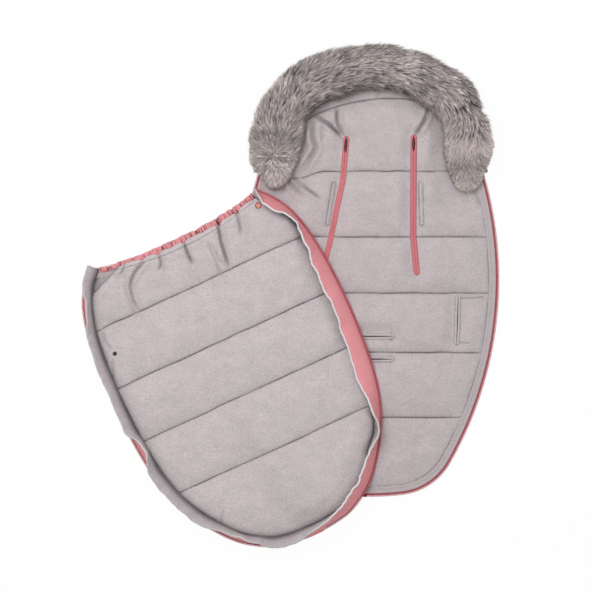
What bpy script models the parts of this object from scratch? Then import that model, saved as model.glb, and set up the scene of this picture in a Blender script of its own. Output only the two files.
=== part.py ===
"""Footmuff for a pushchair, laid open on its back.

The quilted back pad lies flat with its hood end towards +Y and a fur trim round the hood. The zip-off
front cover lies face down beside it, turned and partly over the pad's left half, its draft flap standing
up round the rim. Metres, +Z up. The origin is on the underside of the pad.
"""

import math

import bmesh
import bpy
import numpy as np
from mathutils import Vector
from mathutils.geometry import delaunay_2d_cdt

# Outline of the back pad
PAD_WIDTH = 0.4906
PAD_TOE_Y = -0.3755
PAD_LENGTH = 0.8315
PAD_WIDEST_Y = 0.040
SIDE_RADIUS = 0.707
CORNER_RADIUS = 0.122
TOE_RADIUS = 0.500
SHOULDER_Y = 0.258
HOOD_CENTRE_Y = 0.106
SIDE_STEPS = 18
CORNER_STEPS = 6
HOOD_STEPS = 9

# Layers of the back pad
CLEARANCE = 0.0003
SHELL_THICKNESS = 0.0010
SHELL_FLAT_INSET = 0.014
SHELL_RIM_INSET = 0.0070
SHELL_RIM_HEIGHT = 0.0062
WADDING_INSET = 0.0190
WADDING_HEIGHT = 0.0062
LINING_INSET = 0.0208
LINING_SEAM_HEIGHT = 0.0090
LINING_CROWN_HEIGHT = 0.0200
LINING_EDGE_RISE = 0.050
FACING_THICKNESS = 0.0016

# Channels of the back pad, as shares of its length
BACK_SEAM_SHARES = (0.182, 0.331, 0.467, 0.596, 0.746)
ROW_SHARES = (0.0, 0.1, 0.28, 0.5, 0.72, 0.9)
CROWN_POWER_SHARE = 0.6
COLUMN_COUNT = 11
HOOD_SEAM_RADIUS = 0.356
HOOD_SEAM_X = 0.040
HOOD_SEAM_TOP_Y = 0.384
HOOD_SEAM_STEPS = 16
SEAM_GAP = 0.0005

# Harness slots: centre lines as shares of half the width and of the length. A welt's are of the spread
# of its gap to the slit beside it and of the length
RIGHT_SLIT_SHARES = ((0.333, 0.823), (0.330, 0.704), (0.329, 0.598), (0.356, 0.515))
LEFT_SLIT_SHARES = ((-0.190, 0.820), (-0.217, 0.726), (-0.271, 0.652), (-0.322, 0.579), (-0.379, 0.515))
RIGHT_WELT_SHARES = ((0.44, 0.718), (1.0, 0.626))
LEFT_WELT_SHARES = ((0.9, 0.717), (0.0, 0.626))
WAIST_SLOT_SHARES = ((0.678, 0.455), (0.666, 0.355))
CROTCH_REACH_SHARE = 0.161
CROTCH_UPPER_SHARE = 0.368
CROTCH_LOWER_SHARE = 0.316
SLIT_WIDTH = 0.0064
SLIT_BINDING = 0.0025
BELT_SLOT_WIDTH = 0.0052
BELT_SLOT_FACING = 0.0030
WELT_WIDTH = 0.0088
WELT_GAP = 0.0016
WELT_GAP_SPREAD = 0.0039
BINDING_PROUD = 0.0010
BINDING_BOTTOM = 0.0002
SLOT_STEP = 0.032
SLOT_FLAT = 0.006
SLOT_RISE = 0.025
SLOT_DEPTH_SHARE = 0.3

# Zip halves: a bar of coil beside a tape
TEETH_INSET = 0.0003
TEETH_WIDTH = 0.0032
TEETH_HEIGHT = 0.0030
TEETH_MIDDLE_Z = 0.0070
TAPE_INSET = 0.0038
TAPE_WIDTH = 0.0142
TAPE_THICKNESS = 0.0008
ZIP_SPLIT_X = -0.019
ZIP_SPLIT_GAP = 0.004
ZIP_BOX_LENGTH = 0.009
ZIP_BOX_PROUD = 0.0006
ZIP_STOP_LENGTH = 0.004

# Slider and puller
SLIDER_REST_Y = 0.247
SLIDER_LENGTH = 0.011
SLIDER_POST = 0.0016
SLIDER_PLATE = 0.0016
SLIDER_ROOM = 0.0005
SLIDER_REACH = 0.0062
SLIDER_LIP = 0.0008
BRIDGE_LENGTH = 0.009
BRIDGE_BAR = 0.0010
BRIDGE_WIDTH = 0.0016
PULLER_LENGTH = 0.0195
PULLER_THICKNESS = 0.0010
PULLER_EYE_LENGTH = 0.0055
PULLER_EYE_HALF = 0.0013
PULLER_NECK_HALF = 0.0026
PULLER_HALF_WIDTH = 0.0034
PULLER_GAP = 0.0004

# Fur trim round the hood: its middle line is an arch with two straight legs that turn in
FUR_SIDE_INSET = 0.0183
FUR_SPRING_Y = 0.315
FUR_RISE = 0.131
FUR_HALF_WIDTH = 0.042
FUR_HEIGHT = 0.050
FUR_LEG = 0.097
FUR_LEG_SHARES = ((0.995, 0.0, 0.24), (0.984, 0.13, 0.48), (0.962, 0.33, 0.57), (0.957, 0.55, 0.67),
                  (0.99, 0.76, 0.9))
FUR_ARCH_STEPS = 20
FUR_SIDES = 10
FUR_BACKING_SHARE = 0.42
FUR_BACKING_THICKNESS = 0.0008
FUR_FLAT_MARGIN = 0.006
FUR_FLAT_RISE = 0.040

# Front cover: outline as shares of half its width and of its length, from the toe up
COVER_WIDTH = 0.492
COVER_LENGTH = 0.6475
COVER_TOE_Y = -0.3755
COVER_OUTLINE_SHARES = ((0.0, 0.0), (0.183, 0.0054), (0.358, 0.0224), (0.557, 0.0703), (0.720, 0.143),
                        (0.858, 0.2324), (0.939, 0.325), (0.984, 0.4486), (1.0, 0.611), (0.9756, 0.773),
                        (0.9146, 0.884), (0.825, 0.951), (0.7155, 1.0))
COVER_HALF_STEPS = 26
CURVE_STEPS = 12
HEM_SAG = 0.027
HEM_STEPS = 28
COVER_TURN = math.radians(24.8)
COVER_OVERLAP = 0.2046
COVER_EDGE_Y = -0.0044
COVER_REST_GAP = 0.0004
COVER_DRAPE_START = 0.012
COVER_DRAPE_LENGTH = 0.078

# Layers of the front cover
COVER_SHELL_INSET = 0.0070
COVER_WADDING_INSET = 0.0198
COVER_LINING_INSET = 0.0208
COVER_WADDING_HEIGHT = 0.0050
COVER_LAYER_GAP = 0.0008
COVER_SEAM_HEIGHT = 0.0082
COVER_CROWN_HEIGHT = 0.0180
COVER_SEAM_SHARES = (0.280, 0.4626, 0.634, 0.8147)
COVER_COLUMN_COUNT = 13
GATHER_COUNT = 7
GATHER_HEIGHT = 0.0025
GATHER_REACH = 0.080

# Draft flap: a low wall that leans in on the right and out on the left
FLAP_INSET = 0.0180
FLAP_KNEE_HEIGHT = 0.0110
FLAP_LEAN_LENGTH = 0.0235
FLAP_REACH = 0.032
FLAP_PLY = 0.0012
FLAP_EDGE_WIDTH = 0.0024
FLAP_BOW = 0.0030
FLAP_PLY_GAP = 0.0008
FLAP_RIGHT_SHARES = ((0.0, 0.25), (0.0703, 0.62), (0.143, 0.50), (0.2324, 0.20), (0.325, 0.56),
                     (0.4486, 0.82), (0.611, 0.95), (0.773, 0.78), (0.884, 0.75), (1.0, 0.92))
FLAP_LEFT_SHARES = ((0.0, 0.10), (0.2324, 0.03), (0.325, 0.20), (0.4486, 0.05), (1.0, 0.12))

# Hem: a gathered casing round an elastic
HEM_WIDTH = 0.0130
HEM_THICKNESS = 0.0012
HEM_BOTTOM = 0.0004
HEM_HEIGHT = 0.0085
HEM_RUFFLE = 0.0012
HEM_END_STEPS = 2
HEM_TUCK_SHARE = 0.15
ELASTIC_WIDTH = 0.0060
ELASTIC_THICKNESS = 0.0016
CORNER_STUD_INSET = 0.0373
CORNER_STUD_SHARE = 0.9495
CORNER_STUD_RADIUS = 0.0062
SIDE_STUD_INSET = 0.0421
SIDE_STUD_SHARE = 0.7322
SIDE_STUD_RADIUS = 0.0038
STUD_PROUD = 0.0014
STUD_CROWN = 0.0012
STUD_SIDES = 16
STUD_CROWN_SHARE = 0.7

FILL_TOLERANCE = 0.000001


def clear_scene():
    for obj in list(bpy.data.objects):
        bpy.data.objects.remove(obj, do_unlink=True)


def make_material(name, colour, roughness, metallic=0.0):
    material = bpy.data.materials.new(name)
    material.use_nodes = True
    shader = material.node_tree.nodes["Principled BSDF"]
    shader.inputs["Base Color"].default_value = (*colour, 1.0)
    shader.inputs["Roughness"].default_value = roughness
    shader.inputs["Metallic"].default_value = metallic
    return material


def coral_fabric(name):
    return make_material(name, (0.60, 0.235, 0.245), 0.85)


def grey_fleece(name):
    return make_material(name, (0.54, 0.48, 0.49), 0.95)


def white_wadding(name):
    return make_material(name, (0.85, 0.85, 0.84), 1.0)


def dark_enamel(name):
    return make_material(name, (0.30, 0.03, 0.05), 0.35)


def add_solid(name, points, faces, material):
    """One closed mesh object with its faces pointing out."""
    mesh = bpy.data.meshes.new(name)
    mesh.from_pydata([tuple(point) for point in points], [], faces)
    shape = bmesh.new()
    shape.from_mesh(mesh)
    bmesh.ops.recalc_face_normals(shape, faces=shape.faces)
    shape.to_mesh(mesh)
    shape.free()
    mesh.materials.append(material(name))
    obj = bpy.data.objects.new(name, mesh)
    bpy.context.collection.objects.link(obj)
    return obj


def inside(loop, x, y):
    """True where the point is inside the closed loop."""
    hit = False
    previous = loop[-1]
    for corner in loop:
        if (corner[1] > y) != (previous[1] > y):
            share = (y - corner[1]) / (previous[1] - corner[1])
            if x < corner[0] + share * (previous[0] - corner[0]):
                hit = not hit
        previous = corner
    return hit


def distance_to_line(line, x, y, closed=False):
    """Distance from a point to a run of straight pieces."""
    corners = np.array([corner[:2] for corner in line])
    starts = corners if closed else corners[:-1]
    ends = np.roll(corners, -1, axis=0) if closed else corners[1:]
    run = ends - starts
    reach = np.maximum((run**2).sum(axis=1), FILL_TOLERANCE**2)
    share = np.clip(((np.array((x, y)) - starts) * run).sum(axis=1) / reach, 0, 1)
    nearest = starts + share[:, None] * run
    return float(np.hypot(nearest[:, 0] - x, nearest[:, 1] - y).min())


def smooth_step(value):
    value = min(max(value, 0.0), 1.0)
    return value * value * (3 - 2 * value)


def double_area(a, b, c):
    return abs((b[0] - a[0]) * (c[1] - a[1]) - (c[0] - a[0]) * (b[1] - a[1]))


def triangle_edges(triangle):
    return [frozenset((triangle[k - 1], triangle[k])) for k in range(3)]


def fill(loops, inner):
    """Triangles between the first loop and the others, over the loops' points and the inner ones."""
    points = [corner for loop in loops for corner in loop] + list(inner)
    edges = []
    start = 0
    for loop in loops:
        edges += [(start + i, start + (i + 1) % len(loop)) for i in range(len(loop))]
        start += len(loop)
    flat = [Vector(point[:2]) for point in points]
    _, _, faces, origins, _, _ = delaunay_2d_cdt(flat, edges, [], 0, FILL_TOLERANCE)
    triangles = [tuple(origins[i][0] for i in face) for face in faces]
    walls = {frozenset(edge) for edge in edges}
    beside = {}
    for k, triangle in enumerate(triangles):
        for edge in triangle_edges(triangle):
            beside.setdefault(edge, []).append(k)
    waiting = set(range(len(triangles)))
    kept = []
    while waiting:
        group = [waiting.pop()]
        for k in group:
            for edge in triangle_edges(triangles[k]):
                reached = [] if edge in walls else [other for other in beside[edge] if other in waiting]
                group += reached
                waiting.difference_update(reached)
        group_edges = {edge for k in group for edge in triangle_edges(triangles[k])}
        if any(len(beside[edge]) == 1 for edge in group_edges - walls):
            continue
        largest = max(group, key=lambda k: double_area(*(points[i] for i in triangles[k])))
        x, y = np.mean([points[i][:2] for i in triangles[largest]], axis=0)
        if not any(inside(hole, x, y) for hole in loops[1:]):
            kept += [triangles[k] for k in group]
    return kept


def wall_faces(loops, shift):
    """Quads that join each loop to its copy, shift points later."""
    faces = []
    start = 0
    for loop in loops:
        for i in range(len(loop)):
            low = start + i
            low_next = start + (i + 1) % len(loop)
            faces.append((low, low_next, low_next + shift, low + shift))
        start += len(loop)
    return faces


def add_layer(name, material, loops, low, high, low_inner=(), high_inner=()):
    """A sheet between two heights over (x, y). A point's third number is how far it is lifted."""
    rim = [corner for loop in loops for corner in loop]
    under = rim + list(low_inner)
    over = rim + list(high_inner)
    points = [(x, y, lift + low(x, y)) for x, y, lift in under]
    points += [(x, y, lift + high(x, y)) for x, y, lift in over]
    shift = len(under)
    faces = fill(loops, low_inner)
    faces += [tuple(i + shift for i in face) for face in fill(loops, high_inner)]
    faces += wall_faces(loops, shift)
    return add_solid(name, points, faces, material)


def level(height):
    return lambda x, y: height


def add_tray(name, material, stations, under_rings, over_rings, holes, inner=()):
    """A sheet with a raised rim. Each ring is (inset, height), from the flat middle outwards."""
    floor_low = [rim(station, *under_rings[0]) for station in stations]
    floor_high = [rim(station, *over_rings[0]) for station in stations]
    hole_points = [corner for hole in holes for corner in hole]
    points = []
    faces = []
    for rings, floor in ((under_rings, floor_low), (over_rings, floor_high)):
        start = len(points)
        loops = [floor] + holes
        points += floor
        points += [(x, y, lift + rings[0][1]) for x, y, lift in hole_points]
        points += [(x, y, lift + rings[0][1]) for x, y, lift in inner]
        faces += [tuple(i + start for i in face) for face in fill(loops, inner)]
    shift = len(floor_low) + len(hole_points) + len(inner)
    hole_faces = wall_faces(holes, shift)
    faces += [tuple(i + len(floor_low) for i in face) for face in hole_faces]
    count = len(stations)
    previous = {"under": 0, "over": shift}
    for side, rings in (("under", under_rings), ("over", over_rings)):
        for ring in rings[1:]:
            start = len(points)
            points += [rim(station, *ring) for station in stations]
            for i in range(count):
                j = (i + 1) % count
                low = previous[side]
                faces.append((low + i, low + j, start + j, start + i))
            previous[side] = start
    for i in range(count):
        j = (i + 1) % count
        low, high = previous["under"], previous["over"]
        faces.append((low + i, low + j, high + j, high + i))
    return add_solid(name, points, faces, material)


def add_sweep(name, material, rings):
    """A bar through rings of the same number of points, with its ends closed."""
    count = len(rings[0])
    points = [point for ring in rings for point in ring]
    last = len(points) - count
    faces = [tuple(range(count)), tuple(range(last, last + count))]
    for k in range(len(rings) - 1):
        for i in range(count):
            low = k * count + i
            low_next = k * count + (i + 1) % count
            faces += [(low, low_next, low_next + count), (low, low_next + count, low + count)]
    return add_solid(name, points, faces, material)


def make_stations(points, lift=None):
    """Outline points, anticlockwise, each with the step inwards that shifts its sides by one unit."""
    stations = []
    count = len(points)
    for i in range(count):
        before = np.array(points[i]) - np.array(points[i - 1])
        after = np.array(points[(i + 1) % count]) - np.array(points[i])
        normal_before = np.array((-before[1], before[0])) / np.hypot(*before)
        normal_after = np.array((-after[1], after[0])) / np.hypot(*after)
        step = (normal_before + normal_after) / (1 + normal_before @ normal_after)
        x, y = points[i]
        stations.append((x, y, step[0], step[1], lift(x, y) if lift else 0.0))
    return stations


def rim(station, inset, height):
    x, y, step_x, step_y, lift = station
    return (x + step_x * inset, y + step_y * inset, lift + height)


def inset_loop(stations, inset):
    return [rim(station, inset, 0.0) for station in stations]


def run_between(stations, first, last):
    """The stations from one place to another, each place a number of steps along the outline."""
    places = [first] + [k for k in range(math.ceil(first), math.floor(last) + 1) if first < k < last]
    run = []
    for place in places + [last]:
        k = math.floor(place)
        share = place - k
        start = np.array(stations[k % len(stations)])
        end = np.array(stations[(k + 1) % len(stations)])
        run.append(tuple(start + (end - start) * share))
    return run


def circle_crossing(first, first_radius, second, second_radius):
    """The lower crossing of two circles."""
    gap = np.array(second) - np.array(first)
    apart = np.hypot(*gap)
    along = (apart**2 + first_radius**2 - second_radius**2) / (2 * apart)
    across = math.sqrt(first_radius**2 - along**2)
    foot = np.array(first) + gap * along / apart
    turn = np.array((-gap[1], gap[0])) / apart
    ends = (foot + turn * across, foot - turn * across)
    return min(ends, key=lambda end: end[1] - end[0])


SIDE_CENTRE_X = PAD_WIDTH / 2 - SIDE_RADIUS
TOE_CENTRE_Y = PAD_TOE_Y + TOE_RADIUS
HOOD_TOP_Y = PAD_TOE_Y + PAD_LENGTH
HOOD_RISE = HOOD_TOP_Y - HOOD_CENTRE_Y
FUR_HALF_SPAN = PAD_WIDTH / 2 - FUR_SIDE_INSET - FUR_HALF_WIDTH


def side_x(y):
    """Half the pad's width at a height on its side arc."""
    return SIDE_CENTRE_X + math.sqrt(SIDE_RADIUS**2 - (y - PAD_WIDEST_Y) ** 2)


def arc(centre, radius, first, last, steps):
    """Points of an arc without its first."""
    turns = [first + (last - first) * k / steps for k in range(1, steps + 1)]
    return [(centre[0] + radius * math.cos(turn), centre[1] + radius * math.sin(turn)) for turn in turns]


def toe_point(x):
    return (x, TOE_CENTRE_Y - math.sqrt(TOE_RADIUS**2 - x**2))


def pad_outline():
    """The pad's outline, anticlockwise from the zip's split at the toe, and the steps to its marks."""
    corner = circle_crossing((SIDE_CENTRE_X, PAD_WIDEST_Y), SIDE_RADIUS - CORNER_RADIUS,
                             (0.0, TOE_CENTRE_Y), TOE_RADIUS - CORNER_RADIUS)
    toe_end = math.atan2(corner[1] - TOE_CENTRE_Y, corner[0])
    side_start = math.atan2(corner[1] - PAD_WIDEST_Y, corner[0] - SIDE_CENTRE_X)
    side_end = math.asin((SHOULDER_Y - PAD_WIDEST_Y) / SIDE_RADIUS)
    toe_end_x = TOE_RADIUS * math.cos(toe_end)
    box_right_x = ZIP_SPLIT_X + ZIP_SPLIT_GAP / 2 + ZIP_BOX_LENGTH
    box_left_x = ZIP_SPLIT_X - ZIP_SPLIT_GAP / 2 - ZIP_BOX_LENGTH
    right = [toe_point(box_right_x + (toe_end_x - box_right_x) * k / 3) for k in range(1, 3)]
    right.append(toe_point(toe_end_x))
    right += arc(corner, CORNER_RADIUS, toe_end, side_start, CORNER_STEPS)
    right += arc((SIDE_CENTRE_X, PAD_WIDEST_Y), SIDE_RADIUS, side_start, side_end, SIDE_STEPS)
    shoulder_place = 1 + len(right)
    spread = (SHOULDER_Y - HOOD_CENTRE_Y) / HOOD_RISE
    hood_half = side_x(SHOULDER_Y) / math.sqrt(1 - spread**2)
    start = math.asin(spread)
    for k in range(1, HOOD_STEPS):
        turn = start + (math.pi / 2 - start) * k / HOOD_STEPS
        right.append((hood_half * math.cos(turn), HOOD_CENTRE_Y + HOOD_RISE * math.sin(turn)))
    left = [(-x, y) for x, y in reversed(right)]
    left = [point for point in left if point[1] > toe_point(box_left_x)[1] + CLEARANCE]
    left = [point for point in left if point[1] > SHOULDER_Y or point[0] < box_left_x]
    points = [toe_point(ZIP_SPLIT_X + ZIP_SPLIT_GAP / 2), toe_point(box_right_x)]
    points += right + [(0.0, HOOD_TOP_Y)] + left
    points += [toe_point(box_left_x), toe_point(ZIP_SPLIT_X - ZIP_SPLIT_GAP / 2)]
    left_shoulder_place = points.index((-points[shoulder_place][0], points[shoulder_place][1]))
    return points, shoulder_place, left_shoulder_place


PAD_POINTS, RIGHT_SHOULDER, LEFT_SHOULDER = pad_outline()
PAD_STATIONS = make_stations(PAD_POINTS)
LINING_LOOP = inset_loop(PAD_STATIONS, LINING_INSET)


def pad_place(across_share, along_share):
    return (across_share * PAD_WIDTH / 2, PAD_TOE_Y + along_share * PAD_LENGTH)


def divided(corners, step):
    """A line through corners, divided so that no piece is longer than step."""
    line = [corners[0]]
    for corner in corners[1:]:
        start = line[-1]
        pieces = max(1, math.ceil(np.hypot(*(corner - start)) / step))
        line += [start + (corner - start) * k / pieces for k in range(1, pieces + 1)]
    return [tuple(point) for point in line]


def path_line(shares):
    return divided([np.array(pad_place(*share)) for share in shares], SLOT_STEP)


def slot_loop(line, half_width):
    """A loop round a centre line at half_width from it on every side."""
    count = len(line)
    sides = ([], [])
    for k in range(count):
        before = np.array(line[max(k - 1, 0)])
        after = np.array(line[min(k + 1, count - 1)])
        along = (after - before) / np.hypot(*(after - before))
        across = np.array((-along[1], along[0]))
        end = along * half_width * ((k == count - 1) - (k == 0))
        sides[0].append(np.array(line[k]) - across * half_width + end)
        sides[1].append(np.array(line[k]) + across * half_width + end)
    return [(*point, 0.0) for point in sides[0] + sides[1][::-1]]


def welt_line(shares, slit_shares, turn):
    """A welt's centre line, beside the outer side of a slit."""
    slit = [pad_place(*share) for share in reversed(slit_shares)]
    reach = SLIT_WIDTH / 2 + SLIT_BINDING + WELT_GAP + WELT_WIDTH / 2
    ends = []
    for spread, along in shares:
        y = pad_place(0, along)[1]
        x = np.interp(y, [point[1] for point in slit], [point[0] for point in slit])
        ends.append(np.array((x + turn * (reach + spread * WELT_GAP_SPREAD), y)))
    return divided(ends, SLOT_STEP)


def mirror_shares(shares):
    return tuple((-across, along) for across, along in shares)


def crotch_shares(along):
    return ((-CROTCH_REACH_SHARE, along), (CROTCH_REACH_SHARE, along))


SLOTS = {
    "shoulder_slit_binding_right": (RIGHT_SLIT_SHARES, SLIT_WIDTH, SLIT_BINDING),
    "shoulder_slit_binding_left": (LEFT_SLIT_SHARES, SLIT_WIDTH, SLIT_BINDING),
    "waist_slot_facing_right": (WAIST_SLOT_SHARES, BELT_SLOT_WIDTH, BELT_SLOT_FACING),
    "waist_slot_facing_left": (mirror_shares(WAIST_SLOT_SHARES), BELT_SLOT_WIDTH, BELT_SLOT_FACING),
    "crotch_slot_facing_upper": (crotch_shares(CROTCH_UPPER_SHARE), BELT_SLOT_WIDTH, BELT_SLOT_FACING),
    "crotch_slot_facing_lower": (crotch_shares(CROTCH_LOWER_SHARE), BELT_SLOT_WIDTH, BELT_SLOT_FACING),
}
SLOT_LINES = {name: path_line(slot[0]) for name, slot in SLOTS.items()}
WELT_LINES = {
    "shoulder_welt_right": welt_line(RIGHT_WELT_SHARES, RIGHT_SLIT_SHARES, 1),
    "shoulder_welt_left": welt_line(LEFT_WELT_SHARES, LEFT_SLIT_SHARES, -1),
}


def slot_holes():
    """The hole that each slot's binding fills in every layer."""
    holes = []
    for name, (_, width, binding) in SLOTS.items():
        holes.append(slot_loop(SLOT_LINES[name], width / 2 + binding + CLEARANCE))
    return holes


def welt_holes():
    return [slot_loop(line, WELT_WIDTH / 2 + CLEARANCE) for line in WELT_LINES.values()]


def fur_stations():
    """(x, y, inward step, width share) from the right leg's end round the hood to the left leg's."""
    right = []
    for across, up, width in FUR_LEG_SHARES:
        y = FUR_SPRING_Y - FUR_LEG + FUR_LEG * up
        right.append((FUR_HALF_SPAN * across, y, width))
    arch = []
    for k in range(FUR_ARCH_STEPS + 1):
        turn = math.pi * k / FUR_ARCH_STEPS
        point = (FUR_HALF_SPAN * math.cos(turn), FUR_SPRING_Y + FUR_RISE * math.sin(turn))
        arch.append((*point, 1.0))
    line = right + arch + [(-x, y, width) for x, y, width in reversed(right)]
    stations = []
    for k, (x, y, width) in enumerate(line):
        before = np.array(line[max(k - 1, 0)][:2])
        after = np.array(line[min(k + 1, len(line) - 1)][:2])
        along = (after - before) / np.hypot(*(after - before))
        stations.append((x, y, -along[1], along[0], width))
    return stations


FUR_STATIONS = fur_stations()
FUR_BACKING_BASE = LINING_SEAM_HEIGHT + 2 * CLEARANCE
FUR_BASE = FUR_BACKING_BASE + FUR_BACKING_THICKNESS + CLEARANCE


def hood_seam_y(x):
    centre_y = HOOD_SEAM_TOP_Y - HOOD_SEAM_RADIUS
    return centre_y + math.sqrt(HOOD_SEAM_RADIUS**2 - (x - HOOD_SEAM_X) ** 2)


def quilt_share(seams, y):
    """0 on a seam and 1 between two."""
    for low, high in zip(seams, seams[1:]):
        if low <= y <= high:
            return math.sin(math.pi * (y - low) / (high - low)) ** CROWN_POWER_SHARE
    return 0.0


def back_seams():
    return [PAD_TOE_Y + LINING_INSET] + [pad_place(0, share)[1] for share in BACK_SEAM_SHARES]


def back_top(x, y):
    """Height of the pad's lining: crowned between the seams, low at edges, slots and under the fur."""
    seams = back_seams() + [hood_seam_y(x)]
    puff = quilt_share(seams, y)
    if puff:
        edge = distance_to_line(LINING_LOOP, x, y, closed=True)
        puff *= math.sqrt(min(1.0, edge / LINING_EDGE_RISE))
        fur = distance_to_line(FUR_STATIONS, x, y) - FUR_HALF_WIDTH - FUR_FLAT_MARGIN
        puff *= smooth_step(fur / FUR_FLAT_RISE)
        slot = min(distance_to_line(line, x, y) for line in SLOT_LINES.values())
        puff *= SLOT_DEPTH_SHARE + (1 - SLOT_DEPTH_SHARE) * smooth_step((slot - SLOT_FLAT) / SLOT_RISE)
    return LINING_SEAM_HEIGHT + (LINING_CROWN_HEIGHT - LINING_SEAM_HEIGHT) * puff


def half_width_of(loop, y):
    """The reach of a loop to the right at a height."""
    reach = 0.0
    for start, end in zip(loop, loop[1:] + loop[:1]):
        if (start[1] > y) != (end[1] > y):
            share = (y - start[1]) / (end[1] - start[1])
            reach = max(reach, start[0] + share * (end[0] - start[0]))
    return reach


def quilt_points(loop, seams, columns, clear_of, margin, lift=None):
    """Points in rows that keep to the seams and to the crowns between them."""
    points = []
    for low, high in zip(seams, seams[1:]):
        for share in ROW_SHARES:
            y = low + (high - low) * share
            half = half_width_of(loop, y)
            for k in range(1, columns + 1):
                x = half * (2 * k / (columns + 1) - 1)
                if not inside(loop, x, y) or distance_to_line(loop, x, y, closed=True) < margin:
                    continue
                if any(distance_to_line(line, x, y) < width + margin / 2 for line, width in clear_of):
                    continue
                points.append((x, y, lift(x, y) if lift else 0.0))
    return points


def hood_arc(shift):
    """Points of the hood seam from right to left, moved out by shift, inside the pad's rim."""
    radius = HOOD_SEAM_RADIUS + shift
    centre_y = HOOD_SEAM_TOP_Y - HOOD_SEAM_RADIUS
    points = []
    for k in range(HOOD_SEAM_STEPS * 2 + 1):
        turn = math.pi * (0.5 + (k / HOOD_SEAM_STEPS - 1) * 0.25)
        x = HOOD_SEAM_X + radius * math.cos(turn)
        y = centre_y + radius * math.sin(turn)
        if inside(LINING_LOOP, x, y):
            points.append((x, y, 0.0))
    return points


def above_hood_seam(point):
    reach = math.hypot(point[0] - HOOD_SEAM_X, point[1] - HOOD_SEAM_TOP_Y + HOOD_SEAM_RADIUS)
    return point[1] > FUR_SPRING_Y - FUR_LEG and reach > HOOD_SEAM_RADIUS


def build_back_layers():
    flat = (SHELL_FLAT_INSET, 0.0)
    turn_low = (SHELL_RIM_INSET + SHELL_THICKNESS, SHELL_THICKNESS)
    under = (flat, turn_low, (SHELL_RIM_INSET, SHELL_RIM_HEIGHT))
    over = ((SHELL_FLAT_INSET, SHELL_THICKNESS), (SHELL_RIM_INSET + 2 * SHELL_THICKNESS, 2 * SHELL_THICKNESS),
            (SHELL_RIM_INSET + SHELL_THICKNESS, SHELL_RIM_HEIGHT))
    holes = slot_holes()
    add_tray("back_shell", coral_fabric, PAD_STATIONS, under, over, holes)
    wadding_loop = inset_loop(PAD_STATIONS, WADDING_INSET)
    low = level(SHELL_THICKNESS + CLEARANCE)
    add_layer("back_wadding", white_wadding, [wadding_loop] + holes, low, level(WADDING_HEIGHT))

    seam_points = hood_arc(0.0)
    loop = [point for point in LINING_LOOP if not above_hood_seam(point)]
    cut = next(k for k in range(len(loop)) if loop[k][1] > 0 and loop[k + 1][0] < 0 < loop[k][0])
    loop = loop[:cut + 1] + seam_points + loop[cut + 1:]
    clear_of = [(SLOT_LINES[name], slot[1] / 2 + slot[2]) for name, slot in SLOTS.items()]
    clear_of += [(line, WELT_WIDTH / 2) for line in WELT_LINES.values()]
    seams = back_seams() + [HOOD_SEAM_TOP_Y]
    inner = quilt_points(loop, seams, COLUMN_COUNT, clear_of, LINING_INSET / 2)
    bottom = level(WADDING_HEIGHT + CLEARANCE)
    add_layer("back_lining", grey_fleece, [loop] + holes + welt_holes(), bottom, back_top, (), inner)

    outer = [rim(station, SHELL_RIM_INSET + CLEARANCE, 0.0)
             for station, point in zip(PAD_STATIONS, LINING_LOOP) if above_hood_seam(point)]
    facing_loop = outer + hood_arc(SEAM_GAP)[::-1]
    top = LINING_SEAM_HEIGHT
    add_layer("hood_facing", grey_fleece, [facing_loop], bottom, level(top))
    return max(k for k, point in enumerate(LINING_LOOP) if k < len(LINING_LOOP) / 2
               and not above_hood_seam(point))


def build_edge_facing(last_right):
    """The flat strip between quilt and zip, from the hood seam's left end round the toe to its right."""
    count = len(PAD_STATIONS)
    start = max(k for k in range(count) if above_hood_seam(LINING_LOOP[k])) + 1
    low = TEETH_MIDDLE_Z + TAPE_THICKNESS / 2 + CLEARANCE
    near, far = SHELL_RIM_INSET + CLEARANCE, LINING_INSET - CLEARANCE
    section = ((near, low), (far, low), (far, low + FACING_THICKNESS), (near, low + FACING_THICKNESS))
    run = run_between(PAD_STATIONS, start, count + last_right)
    add_sweep("back_edge_facing", grey_fleece, [[rim(s, *corner) for corner in section] for s in run])


def build_slot_pieces():
    for name, (_, width, binding) in SLOTS.items():
        material = coral_fabric if "slit" in name else grey_fleece
        line = SLOT_LINES[name]
        loops = [slot_loop(line, width / 2 + binding), slot_loop(line, width / 2)]
        add_layer(name, material, loops, level(BINDING_BOTTOM), lambda x, y: back_top(x, y) + BINDING_PROUD)
    for name, line in WELT_LINES.items():
        loop = slot_loop(line, WELT_WIDTH / 2)
        bottom = level(WADDING_HEIGHT + CLEARANCE)
        add_layer(name, grey_fleece, [loop], bottom, lambda x, y: back_top(x, y) + BINDING_PROUD)


def zip_section(middle, half_height, inset, width):
    return ((inset, middle - half_height), (inset + width, middle - half_height),
            (inset + width, middle + half_height), (inset, middle + half_height))


def add_rim_bar(name, material, stations, section, first, last):
    run = run_between(stations, first, last)
    add_sweep(name, material, [[rim(station, *corner) for corner in section] for station in run])


def step_length(stations, place):
    start, end = stations[int(place) % len(stations)], stations[(int(place) + 1) % len(stations)]
    return math.hypot(end[0] - start[0], end[1] - start[1])


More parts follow.
